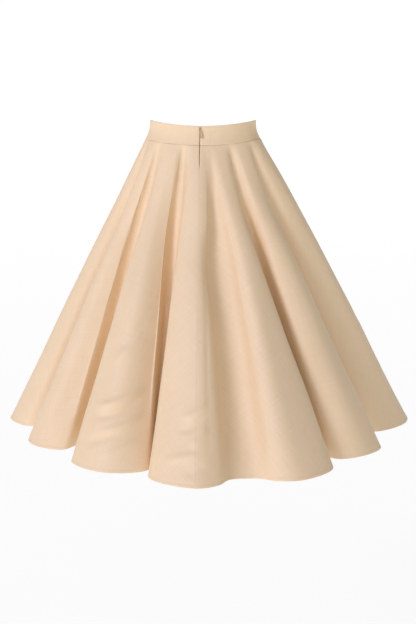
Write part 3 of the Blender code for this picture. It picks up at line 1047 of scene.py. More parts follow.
def hanging_tree() -> bpy.types.NodeTree:
    """Lifts a flat grid onto the straight lines between two curves.

    The grid's X is the part of the way along both curves, and its Y the part of the way down.

    Returns:
        The tree.
    """
    graph = GeometryGraph(
        "hang_between_lines",
        (
            ("Waist seam", "NodeSocketObject"),
            ("Hem", "NodeSocketObject"),
            ("Material", "NodeSocketMaterial"),
        ),
    )
    place = graph.out("GeometryNodeInputPosition")
    split = graph.node("ShaderNodeSeparateXYZ", None, {"Vector": place})
    share, fall = Value(graph, split.outputs["X"]), Value(graph, split.outputs["Y"])
    ends = []
    for label in ("Waist seam", "Hem"):
        line = graph.out("GeometryNodeObjectInfo", None, {"Object": graph.input(label)}, "Geometry")
        sockets = {"Curves": line, "Factor": share}
        ends.append(graph.out("GeometryNodeSampleCurve", {"mode": "FACTOR"}, sockets, "Position"))
    mixed = graph.out("ShaderNodeMix", {"data_type": "VECTOR"}, {0: fall, 4: ends[0], 5: ends[1]}, 1)
    sockets = {"Geometry": graph.input("Geometry"), "Position": mixed}
    return graph.finish(graph.out("GeometryNodeSetPosition", None, sockets))


@dataclass
class SkirtPanel:
    """One panel of the skirt, cut from the flat ring between two shares."""

    name: str
    first: float
    last: float
    lip: Lip
    columns: int
    row_step: float
    thickness: float = 0.0009
    hem_thickness: float = 0.0016  # where the edge is turned up
    hem_depth: float = 0.0082
    stitch_height: float = 0.0062
    top_reach: float = 0.0026  # the cloth beside the waist seam turns in over this length
    top_roll: float = 0.0009
    side_reach: float = 0.0018
    side_roll: float = 0.0002  # at a closed seam
    lip_roll: float = 0.0006  # how much more at the open slit
    open_gap: float = 0.0012  # gap from which the slit counts as open
    zip_reach: float = 0.0400  # half width of the calm cloth over the zip
    zip_end: float = 0.2700  # where that cloth ends
    slow_height: float = 0.0007  # of the cloth's slow waves
    fine_height: float = 0.0004
    ripple_height: float = 0.00016  # along the hem
    groove_depth: float = 0.00022  # under the hem's stitches
    top_stations: tuple[float, ...] = (0.00015, 0.0005, 0.0011, 0.0022, 0.0040)
    hem_stations: tuple[float, ...] = (
        0.0, 0.0002, 0.0005, 0.0009, 0.0020, 0.0036, 0.0050, 0.0057,
        0.0062, 0.0067, 0.0074, 0.0082, 0.0092, 0.0110,
    )

    def grid(self, ring: HangingRing) -> tuple[np.ndarray, np.ndarray]:
        """The shares and the distances down of the panel's points.

        Args:
            ring: The hanging cloth between the waist seam and the hem.

        Returns:
            Both as arrays in rows.
        """
        downs = spread(ring.length, self.row_step, self.top_stations, self.hem_stations)
        falls = downs / ring.length
        ends = (self.first, self.last)
        paces = (ring.pace(self.first, falls), ring.pace(self.last, falls))
        first, last = side_columns(ends, paces, self.lip, ring.waist.band_height + downs)
        shares = fill_columns(first, last, self.columns)
        return shares, np.broadcast_to(downs[:, None], shares.shape)

    def hang(self, shares: np.ndarray, falls: np.ndarray, tree: bpy.types.NodeTree,
             inputs: dict[str, object]) -> np.ndarray:
        """Hangs the flat grid with the tree, and returns its points in rows.

        Args:
            shares: Shares of the way round, from the centre back.
            falls: Parts of the way from the waist seam to the hem.
            tree: The node tree that builds it.
            inputs: The values of the tree's inputs.

        Returns:
            The points, in metres.
        """
        tall, wide = shares.shape
        flat = np.stack([shares, falls, np.zeros(shares.shape)], axis=-1).reshape(-1, 3)
        mesh = bpy.data.meshes.new(f"{self.name}_flat")
        mesh.from_pydata(flat.tolist(), [], add_quads(tall, wide, 0, False).tolist())
        hung = run_tree(f"{self.name}_hung", mesh, tree, inputs)
        points = np.empty(3 * tall * wide, np.float32)
        hung.data.vertices.foreach_get("co", points)
        bpy.data.objects.remove(hung)
        return points.reshape(tall, wide, 3).astype(float)

    def relief(self, ring: HangingRing, shares: np.ndarray, downs: np.ndarray) -> np.ndarray:
        """How far the cloth stands off its straight lines.

        Args:
            ring: The hanging cloth between the waist seam and the hem.
            shares: Shares of the way round, from the centre back.
            downs: Distances down from the waist seam, in metres.

        Returns:
            The heights, in metres.
        """
        place = ring.flat(shares, downs)
        height = sum(wrinkle.heights(ring, place) for wrinkle in WRINKLES)
        angle = TURN * shares
        slow = np.sin(5.0 * angle + 9.0 * downs) + 0.7 * np.sin(13.0 * angle - 14.0 * downs + 1.3)
        fine = np.sin(31.0 * angle + 23.0 * downs + 0.6) * np.sin(11.0 * downs + 2.0)
        height = height + ease(downs / 0.12) * (self.slow_height * slow + self.fine_height * fine)
        from_zip = (ring.inner_radius + downs) * np.sin(angle)
        beside = ease((self.zip_reach - np.abs(from_zip)) / (0.6 * self.zip_reach))
        height = height * (1.0 - beside * ease((self.zip_end - downs) / 0.110))
        above_hem = ring.length - downs
        ripple = np.sin(380.0 * angle + 3.0 * np.sin(47.0 * angle)) * bell(above_hem, 0.010)
        groove = bell(above_hem - self.stitch_height, 0.0008)
        return height + self.ripple_height * ripple - self.groove_depth * groove

    def build(self, ring: HangingRing, tree: bpy.types.NodeTree, inputs: dict[str, object],
              material: bpy.types.Material) -> tuple[bpy.types.Object, np.ndarray]:
        """Makes the panel.

        Args:
            ring: The hanging ring that the panel is cut from.
            tree: The tree that hangs a flat grid.
            inputs: The tree's inputs.
            material: The cloth's material.

        Returns:
            The panel and the run of points that its hem stitches follow.
        """
        shares, downs = self.grid(ring)
        base = self.hang(shares, downs / ring.length, tree, inputs)
        first, last = edge_distances(base)
        base = base + outward(base) * self.relief(ring, shares, downs)[..., None]
        normals = outward(base)
        above_hem = ring.length - downs
        sunk = rolled(downs, self.top_reach, self.top_roll)
        for lip, side in ((Lip.FIRST, first), (Lip.LAST, last)):
            gap = side_gap(self.lip, lip, ring.waist.band_height + downs[:, 0])[:, None]
            depth = self.side_roll + self.lip_roll * np.clip(gap / self.open_gap, 0.0, 1.0)
            sunk = sunk + rolled(side, self.side_reach, depth)
        turned_up = ease((self.hem_depth - above_hem) / 0.0008 + 0.5)
        thick = self.thickness + (self.hem_thickness - self.thickness) * turned_up
        closed = rounding(above_hem, self.hem_thickness) * 0.98
        outer = base - normals * (sunk + closed)[..., None]
        inner = base - normals * (sunk + thick - closed)[..., None]
        cut = ring.flat(shares, downs, (self.first + self.last) / 2.0)
        piece = shell(f"{self.name}_cloth", outer, inner, cut, material)
        row = int(np.argmin(np.abs(above_hem[:, 0] - self.stitch_height)))
        seam = outer[row] + normals[row] * 0.0001
        return piece, seam[len(EDGE) : -len(EDGE)]

    def declare(self, piece: bpy.types.Object, stitches: bpy.types.Object, ring: HangingRing) -> None:
        """Ties the panel and its stitches to their body and hides the node that it replaces.

        Args:
            piece: The panel.
            stitches: The stitches of its hem.
            ring: Not used.
        """
        tie(piece, self.name, stitches=stitches)


# --- Waistband --------------------------------------------------------------------------------------


@dataclass(frozen=True)
class BandDent:
    """A soft ridge or dent in the waistband, in degrees from the centre back and metres down."""

    turn: tuple[float, float]
    down: tuple[float, float]
    width: float
    height: float


BAND_DENTS: tuple[BandDent, ...] = (
    BandDent((1.5, 12.0), (0.024, 0.007), 0.0050, 0.0006),
    BandDent((3.0, 16.0), (0.034, 0.021), 0.0045, -0.0005),
    BandDent((-16.0, -4.0), (0.012, 0.026), 0.0055, -0.0004),
    BandDent((-38.0, -24.0), (0.016, 0.034), 0.0060, 0.0005),
    BandDent((28.0, 44.0), (0.032, 0.014), 0.0055, 0.0005),
    BandDent((84.0, 96.0), (0.010, 0.032), 0.0060, -0.0005),
    BandDent((128.0, 150.0), (0.030, 0.014), 0.0060, 0.0005),
    BandDent((176.0, 196.0), (0.012, 0.028), 0.0060, -0.0004),
    BandDent((214.0, 232.0), (0.032, 0.016), 0.0055, 0.0005),
    BandDent((256.0, 270.0), (0.014, 0.030), 0.0060, -0.0004),
)


@dataclass
class BandPiece:
    """One piece of the contoured waistband, between two angles."""

    name: str
    start: float
    end: float
    lip: Lip
    thickness: float = 0.0022
    side_reach: float = 0.0016
    side_roll: float = 0.0007
    column_step: float = 0.0013
    row_step: float = 0.0013
    top_stations: tuple[float, ...] = (0.0, 0.0001, 0.0003, 0.0006, 0.0009, 0.0013, 0.0020)
    seam_stations: tuple[float, ...] = (0.00015, 0.0003, 0.0006, 0.0009, 0.0014, 0.0022, 0.0035)

    def build(self, waist: WaistLine, material: bpy.types.Material) -> bpy.types.Object:
        """Makes the piece: two layers of cloth with rounded top and bottom edges.

        Args:
            waist: The line of the waist.
            material: The material of the piece.

        Returns:
            The piece.
        """
        downs = spread(waist.band_height, self.row_step, self.top_stations, self.seam_stations)
        falls = downs / waist.band_height
        ends = (self.start, self.end)
        paces = (waist.pace(self.start, falls), waist.pace(self.end, falls))
        first, last = side_columns(ends, paces, self.lip, downs)
        count = round(waist.half_width * (self.end - self.start) / self.column_step)
        angles = fill_columns(first, last, count)
        base = waist.points(angles, falls[:, None])
        down = np.broadcast_to(downs[:, None], angles.shape)
        base = base + outward(base) * self.relief(waist, angles, down)[..., None]
        normals = outward(base)
        before, after = edge_distances(base)
        sunk = rolled(np.minimum(before, after), self.side_reach, self.side_roll)
        closed = rounding(np.minimum(down, waist.band_height - down), self.thickness) * 0.97
        outer = base - normals * (sunk + closed)[..., None]
        inner = base - normals * (sunk + self.thickness - closed)[..., None]
        middle = (self.start + self.end) / 2.0
        cut = np.stack([(angles - middle) * waist.half_width, down], axis=-1)
        return shell(f"{self.name}_cloth", outer, inner, cut, material)

    def relief(self, waist: WaistLine, angles: np.ndarray, down: np.ndarray) -> np.ndarray:
        """The band's soft dents.

        Args:
            waist: The line of the waist.
            angles: Angles from the centre back, in radians.
            down: Distances down from the band's top edge, in metres.

        Returns:
            The heights, in metres.
        """
        place = np.stack([angles * waist.half_width, down], axis=-1)
        height = np.zeros(angles.shape)
        for dent in BAND_DENTS:
            turns = np.radians(dent.turn) * waist.half_width
            along, side = beside_line(place, *np.stack([turns, np.array(dent.down)], axis=1))
            height += dent.height * bell(side, dent.width) * ease(along * 2.5) * ease((1.0 - along) * 2.5)
        return height

    def declare(self, piece: bpy.types.Object, waist: WaistLine) -> None:
        """Logs the piece's cut, ties it to its body and hides its node.

        Args:
            piece: The piece of the band.
            waist: The line of the waist.
        """
        angles = np.linspace(self.start, self.end, 200)
        length = float(running_lengths(waist.points(angles, np.full(200, 0.5)))[-1])
        height = float(running_lengths(waist.points(np.zeros(50), np.linspace(0.0, 1.0, 50)))[-1])
        tie(piece, self.name)
        LOG.info("%s: cut %.3f x %.3f m", self.name, length, height)


# --- Stitches ---------------------------------------------------------------------------------------


def stitch_tree() -> bpy.types.NodeTree:
    """Lays short threads end to end along each curve it is given.

    Returns:
        The tree.
    """
    graph = GeometryGraph(
        "stitch_run",
        (
            ("Pitch", "NodeSocketFloat"),
            ("Stitch length", "NodeSocketFloat"),
            ("Thread radius", "NodeSocketFloat"),
            ("Material", "NodeSocketMaterial"),
        ),
    )
    sockets = {"Curve": graph.input("Geometry"), "Length": graph.input("Pitch")}
    spots = graph.out("GeometryNodeCurveToPoints", {"mode": "LENGTH"}, sockets)
    turned = Value(graph, spots.socket.node.outputs["Rotation"])
    sphere = {"Segments": 6, "Rings": 5, "Radius": 1.0}
    bead = graph.out("GeometryNodeMeshUVSphere", None, sphere)
    size = {
        "X": graph.input("Thread radius"),
        "Y": graph.input("Thread radius"),
        "Z": graph.input("Stitch length") * 0.5,
    }
    scale = graph.out("ShaderNodeCombineXYZ", None, size)
    laid = {"Points": spots, "Instance": bead, "Rotation": turned, "Scale": scale}
    return graph.finish(graph.out("GeometryNodeInstanceOnPoints", None, laid))


@dataclass
class StitchRun:
    """A run of lockstitches on the face of the cloth."""

    pitch: float = 0.0027
    length: float = 0.0023
    radius: float = 0.00017

    def build(self, name: str, runs: list[np.ndarray], tree: bpy.types.NodeTree,
              material: bpy.types.Material) -> bpy.types.Object:
        """Sews along the runs of points.

        Args:
            name: Name of the piece.
            runs: The points of each run, in metres.
            tree: The node tree that builds it.
            material: The material of the piece.

        Returns:
            The stitches, as one object.
        """
        inputs = {
            "Pitch": self.pitch,
            "Stitch length": self.length,
            "Thread radius": self.radius,
            "Material": material,
        }
        sewn = run_tree(name, line_curve(name, runs), tree, inputs)
        sewn.data.shade_smooth()
        return sewn


# --- Zip --------------------------------------------------------------------------------------------


def coil_tree() -> bpy.types.NodeTree:
    """Sets a ring of nylon wire on a path at each pitch, slanted as a wound coil is, round a cord.

    Returns:
        The tree.
    """
    graph = GeometryGraph(
        "zip_coil",
        (
            ("Pitch", "NodeSocketFloat"),
            ("Ring radius", "NodeSocketFloat"),
            ("Wire radius", "NodeSocketFloat"),
            ("Slant", "NodeSocketFloat"),
            ("Material", "NodeSocketMaterial"),
        ),
    )
    path = graph.input("Geometry")
    sockets = {"Curve": path, "Length": graph.input("Pitch")}
    spots = graph.out("GeometryNodeCurveToPoints", {"mode": "LENGTH"}, sockets)
    turned = Value(graph, spots.socket.node.outputs["Rotation"])
    slant = graph.out("ShaderNodeCombineXYZ", None, {"X": graph.input("Slant")})
    turned = graph.out("FunctionNodeRotateRotation", {"rotation_space": "LOCAL"}, {0: turned, 1: slant})
    ring = graph.out("GeometryNodeCurvePrimitiveCircle", None,
                     {"Resolution": 14, "Radius": graph.input("Ring radius")})
    wire = graph.out("GeometryNodeCurvePrimitiveCircle", None,
                     {"Resolution": 6, "Radius": graph.input("Wire radius")})
    link = graph.out("GeometryNodeCurveToMesh", None, {"Curve": ring, "Profile Curve": wire})
    laid = {"Points": spots, "Instance": link, "Rotation": turned}
    rings = graph.out("GeometryNodeInstanceOnPoints", None, laid)
    core = graph.out("GeometryNodeCurvePrimitiveCircle", None,
                     {"Resolution": 8, "Radius": graph.input("Wire radius") * 1.8})
    cord = {"Curve": path, "Profile Curve": core, "Fill Caps": True}
    both = graph.node("GeometryNodeJoinGeometry")
    graph.feed(both, 0, rings)
    graph.feed(both, 0, graph.out("GeometryNodeCurveToMesh", None, cord))
    return graph.finish(Value(graph, both.outputs[0]))


@dataclass
class InvisibleZip:
    """The tapes behind the lips, and the closed coil between them."""

    length: float = 0.200
    start: float = 0.0015
    station: float = 0.0020
    tape_depth: float = 0.0027
    tape_thickness: float = 0.0008
    tape_bead: float = 0.0003  # how much thicker the tape is beside the coil
    tape_stations: tuple[float, ...] = (
        0.0013, 0.0016, 0.0021, 0.0027, 0.0034, 0.0045, 0.0058, 0.0071, 0.0084, 0.0097, 0.0110, 0.0120,
    )
    stitch_stations: tuple[float, ...] = (0.0030, 0.0104)
    coil_start: float = 0.0125
    coil_depth: float = 0.0033
    coil_pitch: float = 0.0012
    ring_radius: float = 0.00072
    wire_radius: float = 0.00017

    def surface(self, ring: HangingRing, downs: np.ndarray, aside: np.ndarray) -> np.ndarray:
        """Points of the garment's outer face by distance down the zip and aside from its line.

        Args:
            ring: The hanging cloth between the waist seam and the hem.
            downs: Distances down the zip, in metres.
            aside: Distances to the right of its line, in metres.

        Returns:
            The points, in metres.
        """
        waist = ring.waist
        height = waist.band_height
        drop = float(np.linalg.norm(ring.at(0.0, 1.0) - ring.at(0.0, 0.0)))
        falls = np.clip((downs - height) / drop, 0.0, 1.0)
        on_skirt = ring.at(aside / ring.pace(0.0, falls)[:, None], falls[:, None])
        part = np.clip(downs / height, 0.0, 1.0)
        angles = waist.turn + aside / waist.pace(waist.turn, part)[:, None]
        on_band = waist.points(angles, part[:, None])
        return np.where((downs < height)[:, None, None], on_band, on_skirt)

    def inward(self, ring: HangingRing, downs: np.ndarray) -> np.ndarray:
        """The direction into the skirt along the zip's line.

        Args:
            ring: The hanging cloth between the waist seam and the hem.
            downs: Distances down the zip, in metres.

        Returns:
            The direction at each distance.
        """
        line = self.surface(ring, downs, np.array([-0.0005, 0.0, 0.0005]))
        normals = -outward(line)[:, 1]
        kernel = np.hanning(9) / np.hanning(9).sum()
        padded = np.pad(normals, ((4, 4), (0, 0)), mode="edge")
        smooth = np.stack([np.convolve(padded[:, k], kernel, mode="valid") for k in range(3)], axis=1)
        return smooth / np.linalg.norm(smooth, axis=1, keepdims=True)

    def tape(self, name: str, side: int, ring: HangingRing,
             material: bpy.types.Material) -> tuple[bpy.types.Object, list[np.ndarray]]:
        """One tape, and the runs of stitches that hold it.

        Args:
            name: The piece's name.
            side: 1 for the right of the slit and -1 for the left.
            ring: The hanging ring.
            material: The tape's material.

        Returns:
            The tape and the runs that its stitches follow.
        """
        downs = np.arange(self.start, self.length - self.station, self.station)
        inward = self.inward(ring, downs)[:, None, :]
        aside = side * np.array(self.tape_stations)
        if side < 0:
            aside = aside[::-1]
        face = self.surface(ring, downs, aside) + inward * self.tape_depth
        bead = self.tape_bead * bell(np.abs(aside) - self.tape_stations[1], 0.0009)
        back = face + inward * (self.tape_thickness + bead)[None, :, None]
        cut = np.stack(np.broadcast_arrays(aside[None, :], downs[:, None]), axis=-1)
        piece = shell(name, face, back, cut, material)
        places = side * np.array(self.stitch_stations)
        sewn = self.surface(ring, downs, places) + inward * (self.tape_depth + self.tape_thickness + 0.0001)
        return piece, [sewn[3:-3, k] for k in range(len(places))]

    def coil(self, name: str, ring: HangingRing, tree: bpy.types.NodeTree,
             material: bpy.types.Material) -> bpy.types.Object:
        """The closed coil, from the slider down.

        Args:
            name: Name of the piece.
            ring: The hanging cloth between the waist seam and the hem.
            tree: The node tree that builds it.
            material: The material of the piece.

        Returns:
            The coil.
        """
        downs = np.arange(self.coil_start, self.length - 2.0 * self.station, self.station)
        line = self.surface(ring, downs, np.zeros(1))[:, 0] + self.inward(ring, downs) * self.coil_depth
        inputs = {
            "Pitch": self.coil_pitch,
            "Ring radius": self.ring_radius,
            "Wire radius": self.wire_radius,
            "Slant": math.radians(24.0),
            "Material": material,
        }
        coil = run_tree(name, line_curve(name, [line]), tree, inputs)
        coil.data.shade_smooth()
        return coil


# --- Slider and pull tab ----------------------------------------------------------------------------


@dataclass(frozen=True)
class Block:
    """A box by its lowest and highest corners."""

    low: tuple[float, float, float]
    high: tuple[float, float, float]

    def mesh(self, name: str) -> bpy.types.Mesh:
        """The box as a mesh.

        Args:
            name: Name of the mesh.

        Returns:
            The mesh.
        """
        mesh = bpy.data.meshes.new(name)
        bm = bmesh.new()
        bmesh.ops.create_cube(bm, size=1.0)
        low, high = Vector(self.low), Vector(self.high)
        bmesh.ops.scale(bm, vec=high - low, verts=bm.verts)
        bmesh.ops.translate(bm, vec=(high + low) / 2.0, verts=bm.verts)
        bm.to_mesh(mesh)
        bm.free()
        return mesh


def rod_mesh(name: str, radius: float, length: float, sides: int) -> bpy.types.Mesh:
    """A rod along X through the origin.

    Args:
        name: Name of the mesh.
        radius: Its radius, in metres.
        length: Its length, in metres.
        sides: How many sides it has.

    Returns:
        The mesh.
    """
    mesh = bpy.data.meshes.new(name)
    bm = bmesh.new()
    turned = Matrix.Rotation(math.radians(90.0), 4, "Y")
    bmesh.ops.create_cone(bm, cap_ends=True, segments=sides, radius1=radius, radius2=radius,
                          depth=length, matrix=turned)
    bm.to_mesh(mesh)
    bm.free()
    return mesh


def joined(
    name: str,
    base: bpy.types.Mesh,
    others: list[tuple[str, bpy.types.Mesh]],
    bevel: float,
    place: Matrix,
    material: bpy.types.Material,
) -> bpy.types.Object:
    """Unites or cuts meshes with the first one, rounds the edges and puts the result in place.

    Args:
        name: The piece's name.
        base: The first mesh.
        others: A Boolean operation with each other mesh.
        bevel: The width of the rounded edges.
        place: Where the piece goes.
        material: Its material.

    Returns:
        The piece, at the origin with its place in its mesh.
    """
    carrier = link_mesh(f"{name}_base", base)
    helpers = []
    for operation, mesh in others:
        helper = link_mesh(mesh.name, mesh)
        modifier = carrier.modifiers.new(mesh.name, "BOOLEAN")
        modifier.operation = operation
        modifier.object = helper
        helpers.append(helper)
    edges = carrier.modifiers.new("Edges", "BEVEL")
    edges.width = bevel
    edges.segments = 2
    edges.limit_method = "ANGLE"
    edges.angle_limit = math.radians(40.0)
    evaluated = carrier.evaluated_get(bpy.context.evaluated_depsgraph_get())
    mesh = bpy.data.meshes.new_from_object(evaluated)
    for obj in [carrier, *helpers]:
        bpy.data.objects.remove(obj)
    mesh.name = name
    mesh.transform(place)
    mesh.shade_smooth()
    mesh.set_sharp_from_angle(angle=math.radians(50.0))
    mesh.materials.clear()
    mesh.materials.append(material)
    return link_mesh(name, mesh)


@dataclass
class ZipSlider:
    """The slider at the top of the slit: a body inside, a post through it and a pin outside."""

    pin: Vector
    turn: float
    blocks: tuple[Block, ...] = (
        Block((-0.0035, 0.0063, -0.0055), (0.0035, 0.0099, 0.0035)),
        Block((-0.0006, 0.0014, -0.0025), (0.0006, 0.0067, 0.0025)),
        Block((-0.0020, 0.0013, -0.0030), (0.0020, 0.0017, 0.0030)),
        Block((-0.0020, -0.0007, -0.0012), (-0.0013, 0.0015, 0.0012)),
        Block((0.0013, -0.0007, -0.0012), (0.0020, 0.0015, 0.0012)),
    )
    pin_radius: float = 0.0004
    pin_length: float = 0.0034

    def place(self) -> Matrix:
        """The frame of the pin: -Y is straight out of the band and X runs along the pin."""
        return Matrix.Translation(self.pin) @ Matrix.Rotation(self.turn, 4, "Z")

    def build(self, material: bpy.types.Material) -> bpy.types.Object:
        """Makes the slider.

        Args:
            material: The material of the piece.

        Returns:
            The slider.
        """
        others = [("UNION", block.mesh(f"block_{i}")) for i, block in enumerate(self.blocks[1:])]
        others.append(("UNION", rod_mesh("pin", self.pin_radius, self.pin_length, 20)))
        base = self.blocks[0].mesh("slider_body")
        return joined("zip_slider_enamel", base, others, 0.00014, self.place(), material)


@dataclass
class PullTab:
    """The drop-shaped tab that swings on the slider's pin."""

    length: float = 0.0220
    thickness: float = 0.0010
    neck_half: float = 0.0008
    neck_end: float = 0.0028
    shoulder: float = 0.0100
    half_width: float = 0.0030
    barrel_radius: float = 0.00105
    barrel_half: float = 0.00085
    hole_radius: float = 0.0007
    lean: float = math.radians(12.0)
    pitch: float = math.radians(8.5)
    rim: float = 0.0005
    recess: float = 0.00015

    def outline(self) -> list[tuple[float, float]]:
        """Half of the outline as half width and distance down.

        Returns:
            The two measures at each point, in metres.
        """
        half = [(self.neck_half, 0.0), (self.neck_half, self.neck_end)]
        for u in np.linspace(0.0, 1.0, 11)[1:]:
            width = self.neck_half + (self.half_width - self.neck_half) * float(ease(u))
            half.append((width, self.neck_end + self.shoulder * float(u)))
        centre = self.length - self.half_width
        for angle in np.linspace(0.0, math.pi / 2.0, 13)[:-1]:
            half.append((self.half_width * math.cos(angle), centre + self.half_width * math.sin(angle)))
        return half

    def plate(self) -> bpy.types.Mesh:
        """The flat drop with a raised rim on both faces.

        Returns:
            The mesh.
        """
        half = self.outline()
        ring = half + [(0.0, self.length)] + [(-w, d) for w, d in reversed(half)]
        mesh = bpy.data.meshes.new("tab_plate")
        bm = bmesh.new()
        face = bm.faces.new([bm.verts.new((w, -self.thickness / 2.0, -d)) for w, d in ring])
        grown = bmesh.ops.extrude_face_region(bm, geom=[face])
        moved = [item for item in grown["geom"] if isinstance(item, bmesh.types.BMVert)]
        bmesh.ops.translate(bm, vec=(0.0, self.thickness, 0.0), verts=moved)
        bmesh.ops.recalc_face_normals(bm, faces=bm.faces)
        wide = [f for f in bm.faces if len(f.verts) == len(ring)]
        bmesh.ops.inset_region(bm, faces=wide, thickness=self.rim, depth=0.0, use_even_offset=True)
        bmesh.ops.inset_region(bm, faces=wide, thickness=self.recess, depth=-self.recess)
        bm.to_mesh(mesh)
        bm.free()
        return mesh

    def build(self, place: Matrix, material: bpy.types.Material) -> bpy.types.Object:
        """Makes the tab, hanging from the pin's frame.

        Args:
            place: The pin's frame.
            material: The material of the piece.

        Returns:
            The tab.
        """
        hang = place @ Matrix.Rotation(-self.pitch, 4, "X") @ Matrix.Rotation(-self.lean, 4, "Y")
        others = [
            ("UNION", rod_mesh("barrel", self.barrel_radius, 2.0 * self.barrel_half, 24)),
            ("DIFFERENCE", rod_mesh("hole", self.hole_radius, 6.0 * self.barrel_half, 24)),
        ]
        return joined("pull_tab_enamel", self.plate(), others, 0.00008, hang, material)


# --- Studio -----------------------------------------------------------------------------------------


@dataclass(frozen=True)
class SoftLight:
    """A far soft light, by the direction it comes from."""

    name: str
    azimuth: float  # degrees from -Y towards +X
    elevation: float
    spread: float  # degrees across
    power: float
    colour: Colour


@dataclass
class Studio:
    """The pale floor and backdrop, the soft lights and the camera."""

    floor_height: float = -1.60
    paper_radius: float = 26.0
    wall_height: float = 10.0
    bend_radius: float = 5.0
    backdrop_sides: int = 96
    paper_glow: float = 0.90
    camera_place: tuple[float, float, float] = (0.0113, -2.4, 0.0045)
    camera_pitch: float = math.radians(10.545)
    lens: float = 60.13
    world_strength: float = 0.06
    world_colour: Colour = (1.0, 0.92, 0.74)
    lights: tuple[SoftLight, ...] = (
        SoftLight("key", -46.0, 30.0, 16.0, 1.38, (0.92, 0.92, 1.20)),
        SoftLight("front", -12.0, 34.0, 40.0, 0.48, (0.92, 0.92, 1.18)),
    )

    def build(self) -> None:
        """Sets up everything around the object."""
        self.add_camera()
        for light in self.lights:
            self.add_light(light)
        world = bpy.data.worlds.new("studio")
        bpy.context.scene.world = world
        world.use_nodes = True
        sky = world.node_tree.nodes["Background"]
        sky.inputs["Color"].default_value = (*self.world_colour, 1.0)
        sky.inputs["Strength"].default_value = self.world_strength
        bpy.context.scene.view_settings.view_transform = "Standard"
        self.backdrop()

    def add_camera(self) -> None:
        """The camera, behind the skirt at the height of the waist, looking down a little."""
        data = bpy.data.cameras.new("camera")
        data.lens = self.lens
        camera = bpy.data.objects.new("camera", data)
        camera.location = self.camera_place
        camera.rotation_euler = (math.pi / 2.0 - self.camera_pitch, 0.0, 0.0)
        bpy.context.scene.collection.objects.link(camera)
        bpy.context.scene.camera = camera

    def add_light(self, light: SoftLight) -> None:
        """One soft light, turned from its direction.

        Args:
            light: The light.
        """
        data = bpy.data.lights.new(light.name, "SUN")
        data.angle = math.radians(light.spread)
        data.energy = light.power
        data.color = light.colour
        lamp = bpy.data.objects.new(light.name, data)
        turn, rise = math.radians(light.azimuth), math.radians(light.elevation)
        flat = math.cos(rise)
        way = Vector((-math.sin(turn) * flat, math.cos(turn) * flat, -math.sin(rise)))
        lamp.rotation_euler = way.to_track_quat("-Z", "Y").to_euler()
        bpy.context.scene.collection.objects.link(lamp)

    def backdrop(self) -> bpy.types.Object:
        """A round floor that bends up into a wall all round the object.

        Returns:
            The backdrop.
        """
        radius, low = self.bend_radius, self.floor_height
        flat = self.paper_radius - radius
        section = [(flat * step / 6.0, low) for step in range(1, 7)]
        for angle in np.linspace(0.0, math.pi / 2.0, 13)[1:]:
            section.append((flat + radius * math.sin(angle), low + radius - radius * math.cos(angle)))
        section.append((self.paper_radius, low + self.wall_height))
        sides = self.backdrop_sides
        turns = [2.0 * math.pi * i / sides for i in range(sides)]
        points = [(r * math.cos(t), r * math.sin(t), z) for r, z in section for t in turns]
        faces = [tuple(range(sides))]
        for row in range(len(section) - 1):
            for i in range(sides):
                near, far = row * sides + i, row * sides + (i + 1) % sides
                faces.append((near, near + sides, far + sides, far))
        mesh = bpy.data.meshes.new("backdrop")
        mesh.from_pydata(points, [], faces)
        mesh.shade_smooth()
        material, graph, shader = principled("paper", (0.9, 0.9, 0.9))
        place = graph.out("ShaderNodeTexCoord", None, None, "Object")
        tone = streaks(graph, place, (1.5, 1.5, 1.5), 2.0)
        paper = blend_colours(graph, tone, (0.110, 0.108, 0.110), (0.120, 0.118, 0.120))
        graph.feed(shader, "Base Color", paper)
        fix(shader, {"Roughness": 0.9, "Emission Color": (1.0, 1.0, 1.0, 1.0)})
        fix(shader, {"Emission Strength": self.paper_glow})
        mesh.materials.append(material)
        return link_mesh("backdrop", mesh)


# --- The whole skirt ---------------------------------------------------------------------------------


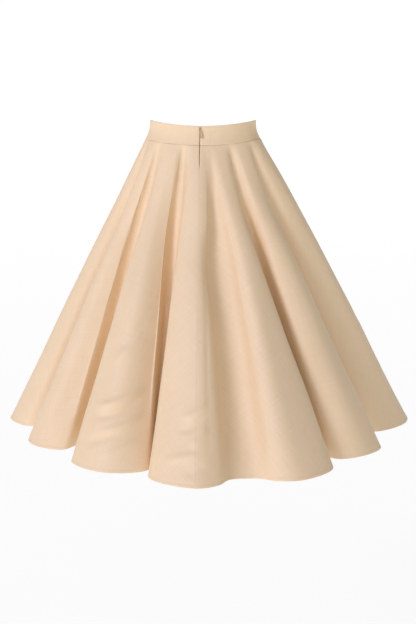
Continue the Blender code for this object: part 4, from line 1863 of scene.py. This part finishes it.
class CircleSkirt:
    """Builds each piece in order and ties it to its body and node."""

    def __init__(self) -> None:
        """Measures the cloth's lines and makes the finishes and the trees."""
        self.ring = HangingRing(WaistLine(), HemLine())
        self.cloth = SateenFinish().material()
        self.tape = TapeFinish().material()
        thread = ThreadFinish("sewing_thread", (0.80, 0.61, 0.44), (0.66, 0.49, 0.34), 0.6, 0.0006)
        nylon = ThreadFinish("coil_nylon", (0.62, 0.45, 0.31), (0.52, 0.37, 0.25), 0.38, 0.0009)
        self.thread = thread.material()
        self.nylon = nylon.material()
        self.enamel = EnamelFinish().material()
        self.stitches = stitch_tree()

    def build_panels(self) -> None:
        """The three panels and their topstitched hems."""
        ring = self.ring
        right = float(ring.knot_shares[RIGHT_SIDE])
        left = float(ring.knot_shares[LEFT_SIDE])
        panels = (
            SkirtPanel("back_panel_right", 0.0, right, Lip.FIRST, 216, 0.0037),
            SkirtPanel("front_panel", right, left, Lip.NONE, 290, 0.0049),
            SkirtPanel("back_panel_left", left, 1.0, Lip.LAST, 216, 0.0037),
        )
        seam = line_object("waist_seam_line", ring.seam_loop)
        hem = line_object("hem_line", ring.hem_loop)
        inputs = {"Waist seam": seam, "Hem": hem, "Material": self.cloth}
        tree = hanging_tree()
        for panel in panels:
            piece, run = panel.build(ring, tree, inputs, self.cloth)
            sewn = StitchRun().build(f"{panel.name}_hem_stitches", [run], self.stitches, self.thread)
            panel.declare(piece, sewn, ring)
            report(piece, sewn)
        for line in (seam, hem):
            bpy.data.objects.remove(line)

    def build_band(self) -> None:
        """The three pieces of the waistband."""
        ring, waist = self.ring, self.ring.waist
        right = ring.seam_angle(float(ring.knot_shares[RIGHT_SIDE]))
        left = ring.seam_angle(float(ring.knot_shares[LEFT_SIDE]))
        bands = (
            BandPiece("waistband_back_right", waist.turn, right, Lip.FIRST),
            BandPiece("waistband_front", right, left, Lip.NONE),
            BandPiece("waistband_back_left", left, waist.turn + TURN, Lip.LAST),
        )
        for band in bands:
            piece = band.build(waist, self.cloth)
            band.declare(piece, waist)
            report(piece)

    def build_zip(self) -> None:
        """The tapes with their stitches, and the coil."""
        fastener = InvisibleZip()
        for side, word in ((1, "right"), (-1, "left")):
            tape, runs = fastener.tape(f"zip_tape_{word}_weave", side, self.ring, self.tape)
            sewn = StitchRun().build(f"zip_tape_{word}_stitches", runs, self.stitches, self.thread)
            tie(tape, f"zip_tape_{word}", stitches=sewn)
            report(tape, sewn)
        coil = fastener.coil("zip_coil_rings", self.ring, coil_tree(), self.nylon)
        tie(coil, "zip_coil")
        report(coil)

    def build_slider(self) -> None:
        """The slider and the pull tab, on the frame's own joint."""
        joint = frame["joints"][0]
        axis = -Vector(joint["axis"])
        slider = ZipSlider(Vector(joint["pos_m"]), math.atan2(axis.y, axis.x))
        body = slider.build(self.enamel)
        tab = PullTab().build(slider.place(), self.enamel)
        tie(body, "zip_slider")
        tie(tab, "pull_tab", body="pull_tab")
        report(body, tab)


def report(*pieces: bpy.types.Object) -> None:
    """Logs the size of each piece."""
    for piece in pieces:
        mesh = piece.data
        mesh.calc_loop_triangles()
        LOG.info("%s: %d triangles", piece.name, len(mesh.loop_triangles))


def main() -> None:
    """Builds the studio and the skirt."""
    logging.basicConfig(level=logging.INFO, format="%(message)s")
    Studio().build()
    skirt = CircleSkirt()
    skirt.build_panels()
    skirt.build_band()
    skirt.build_zip()
    skirt.build_slider()


if __name__ == "__main__":
    main()
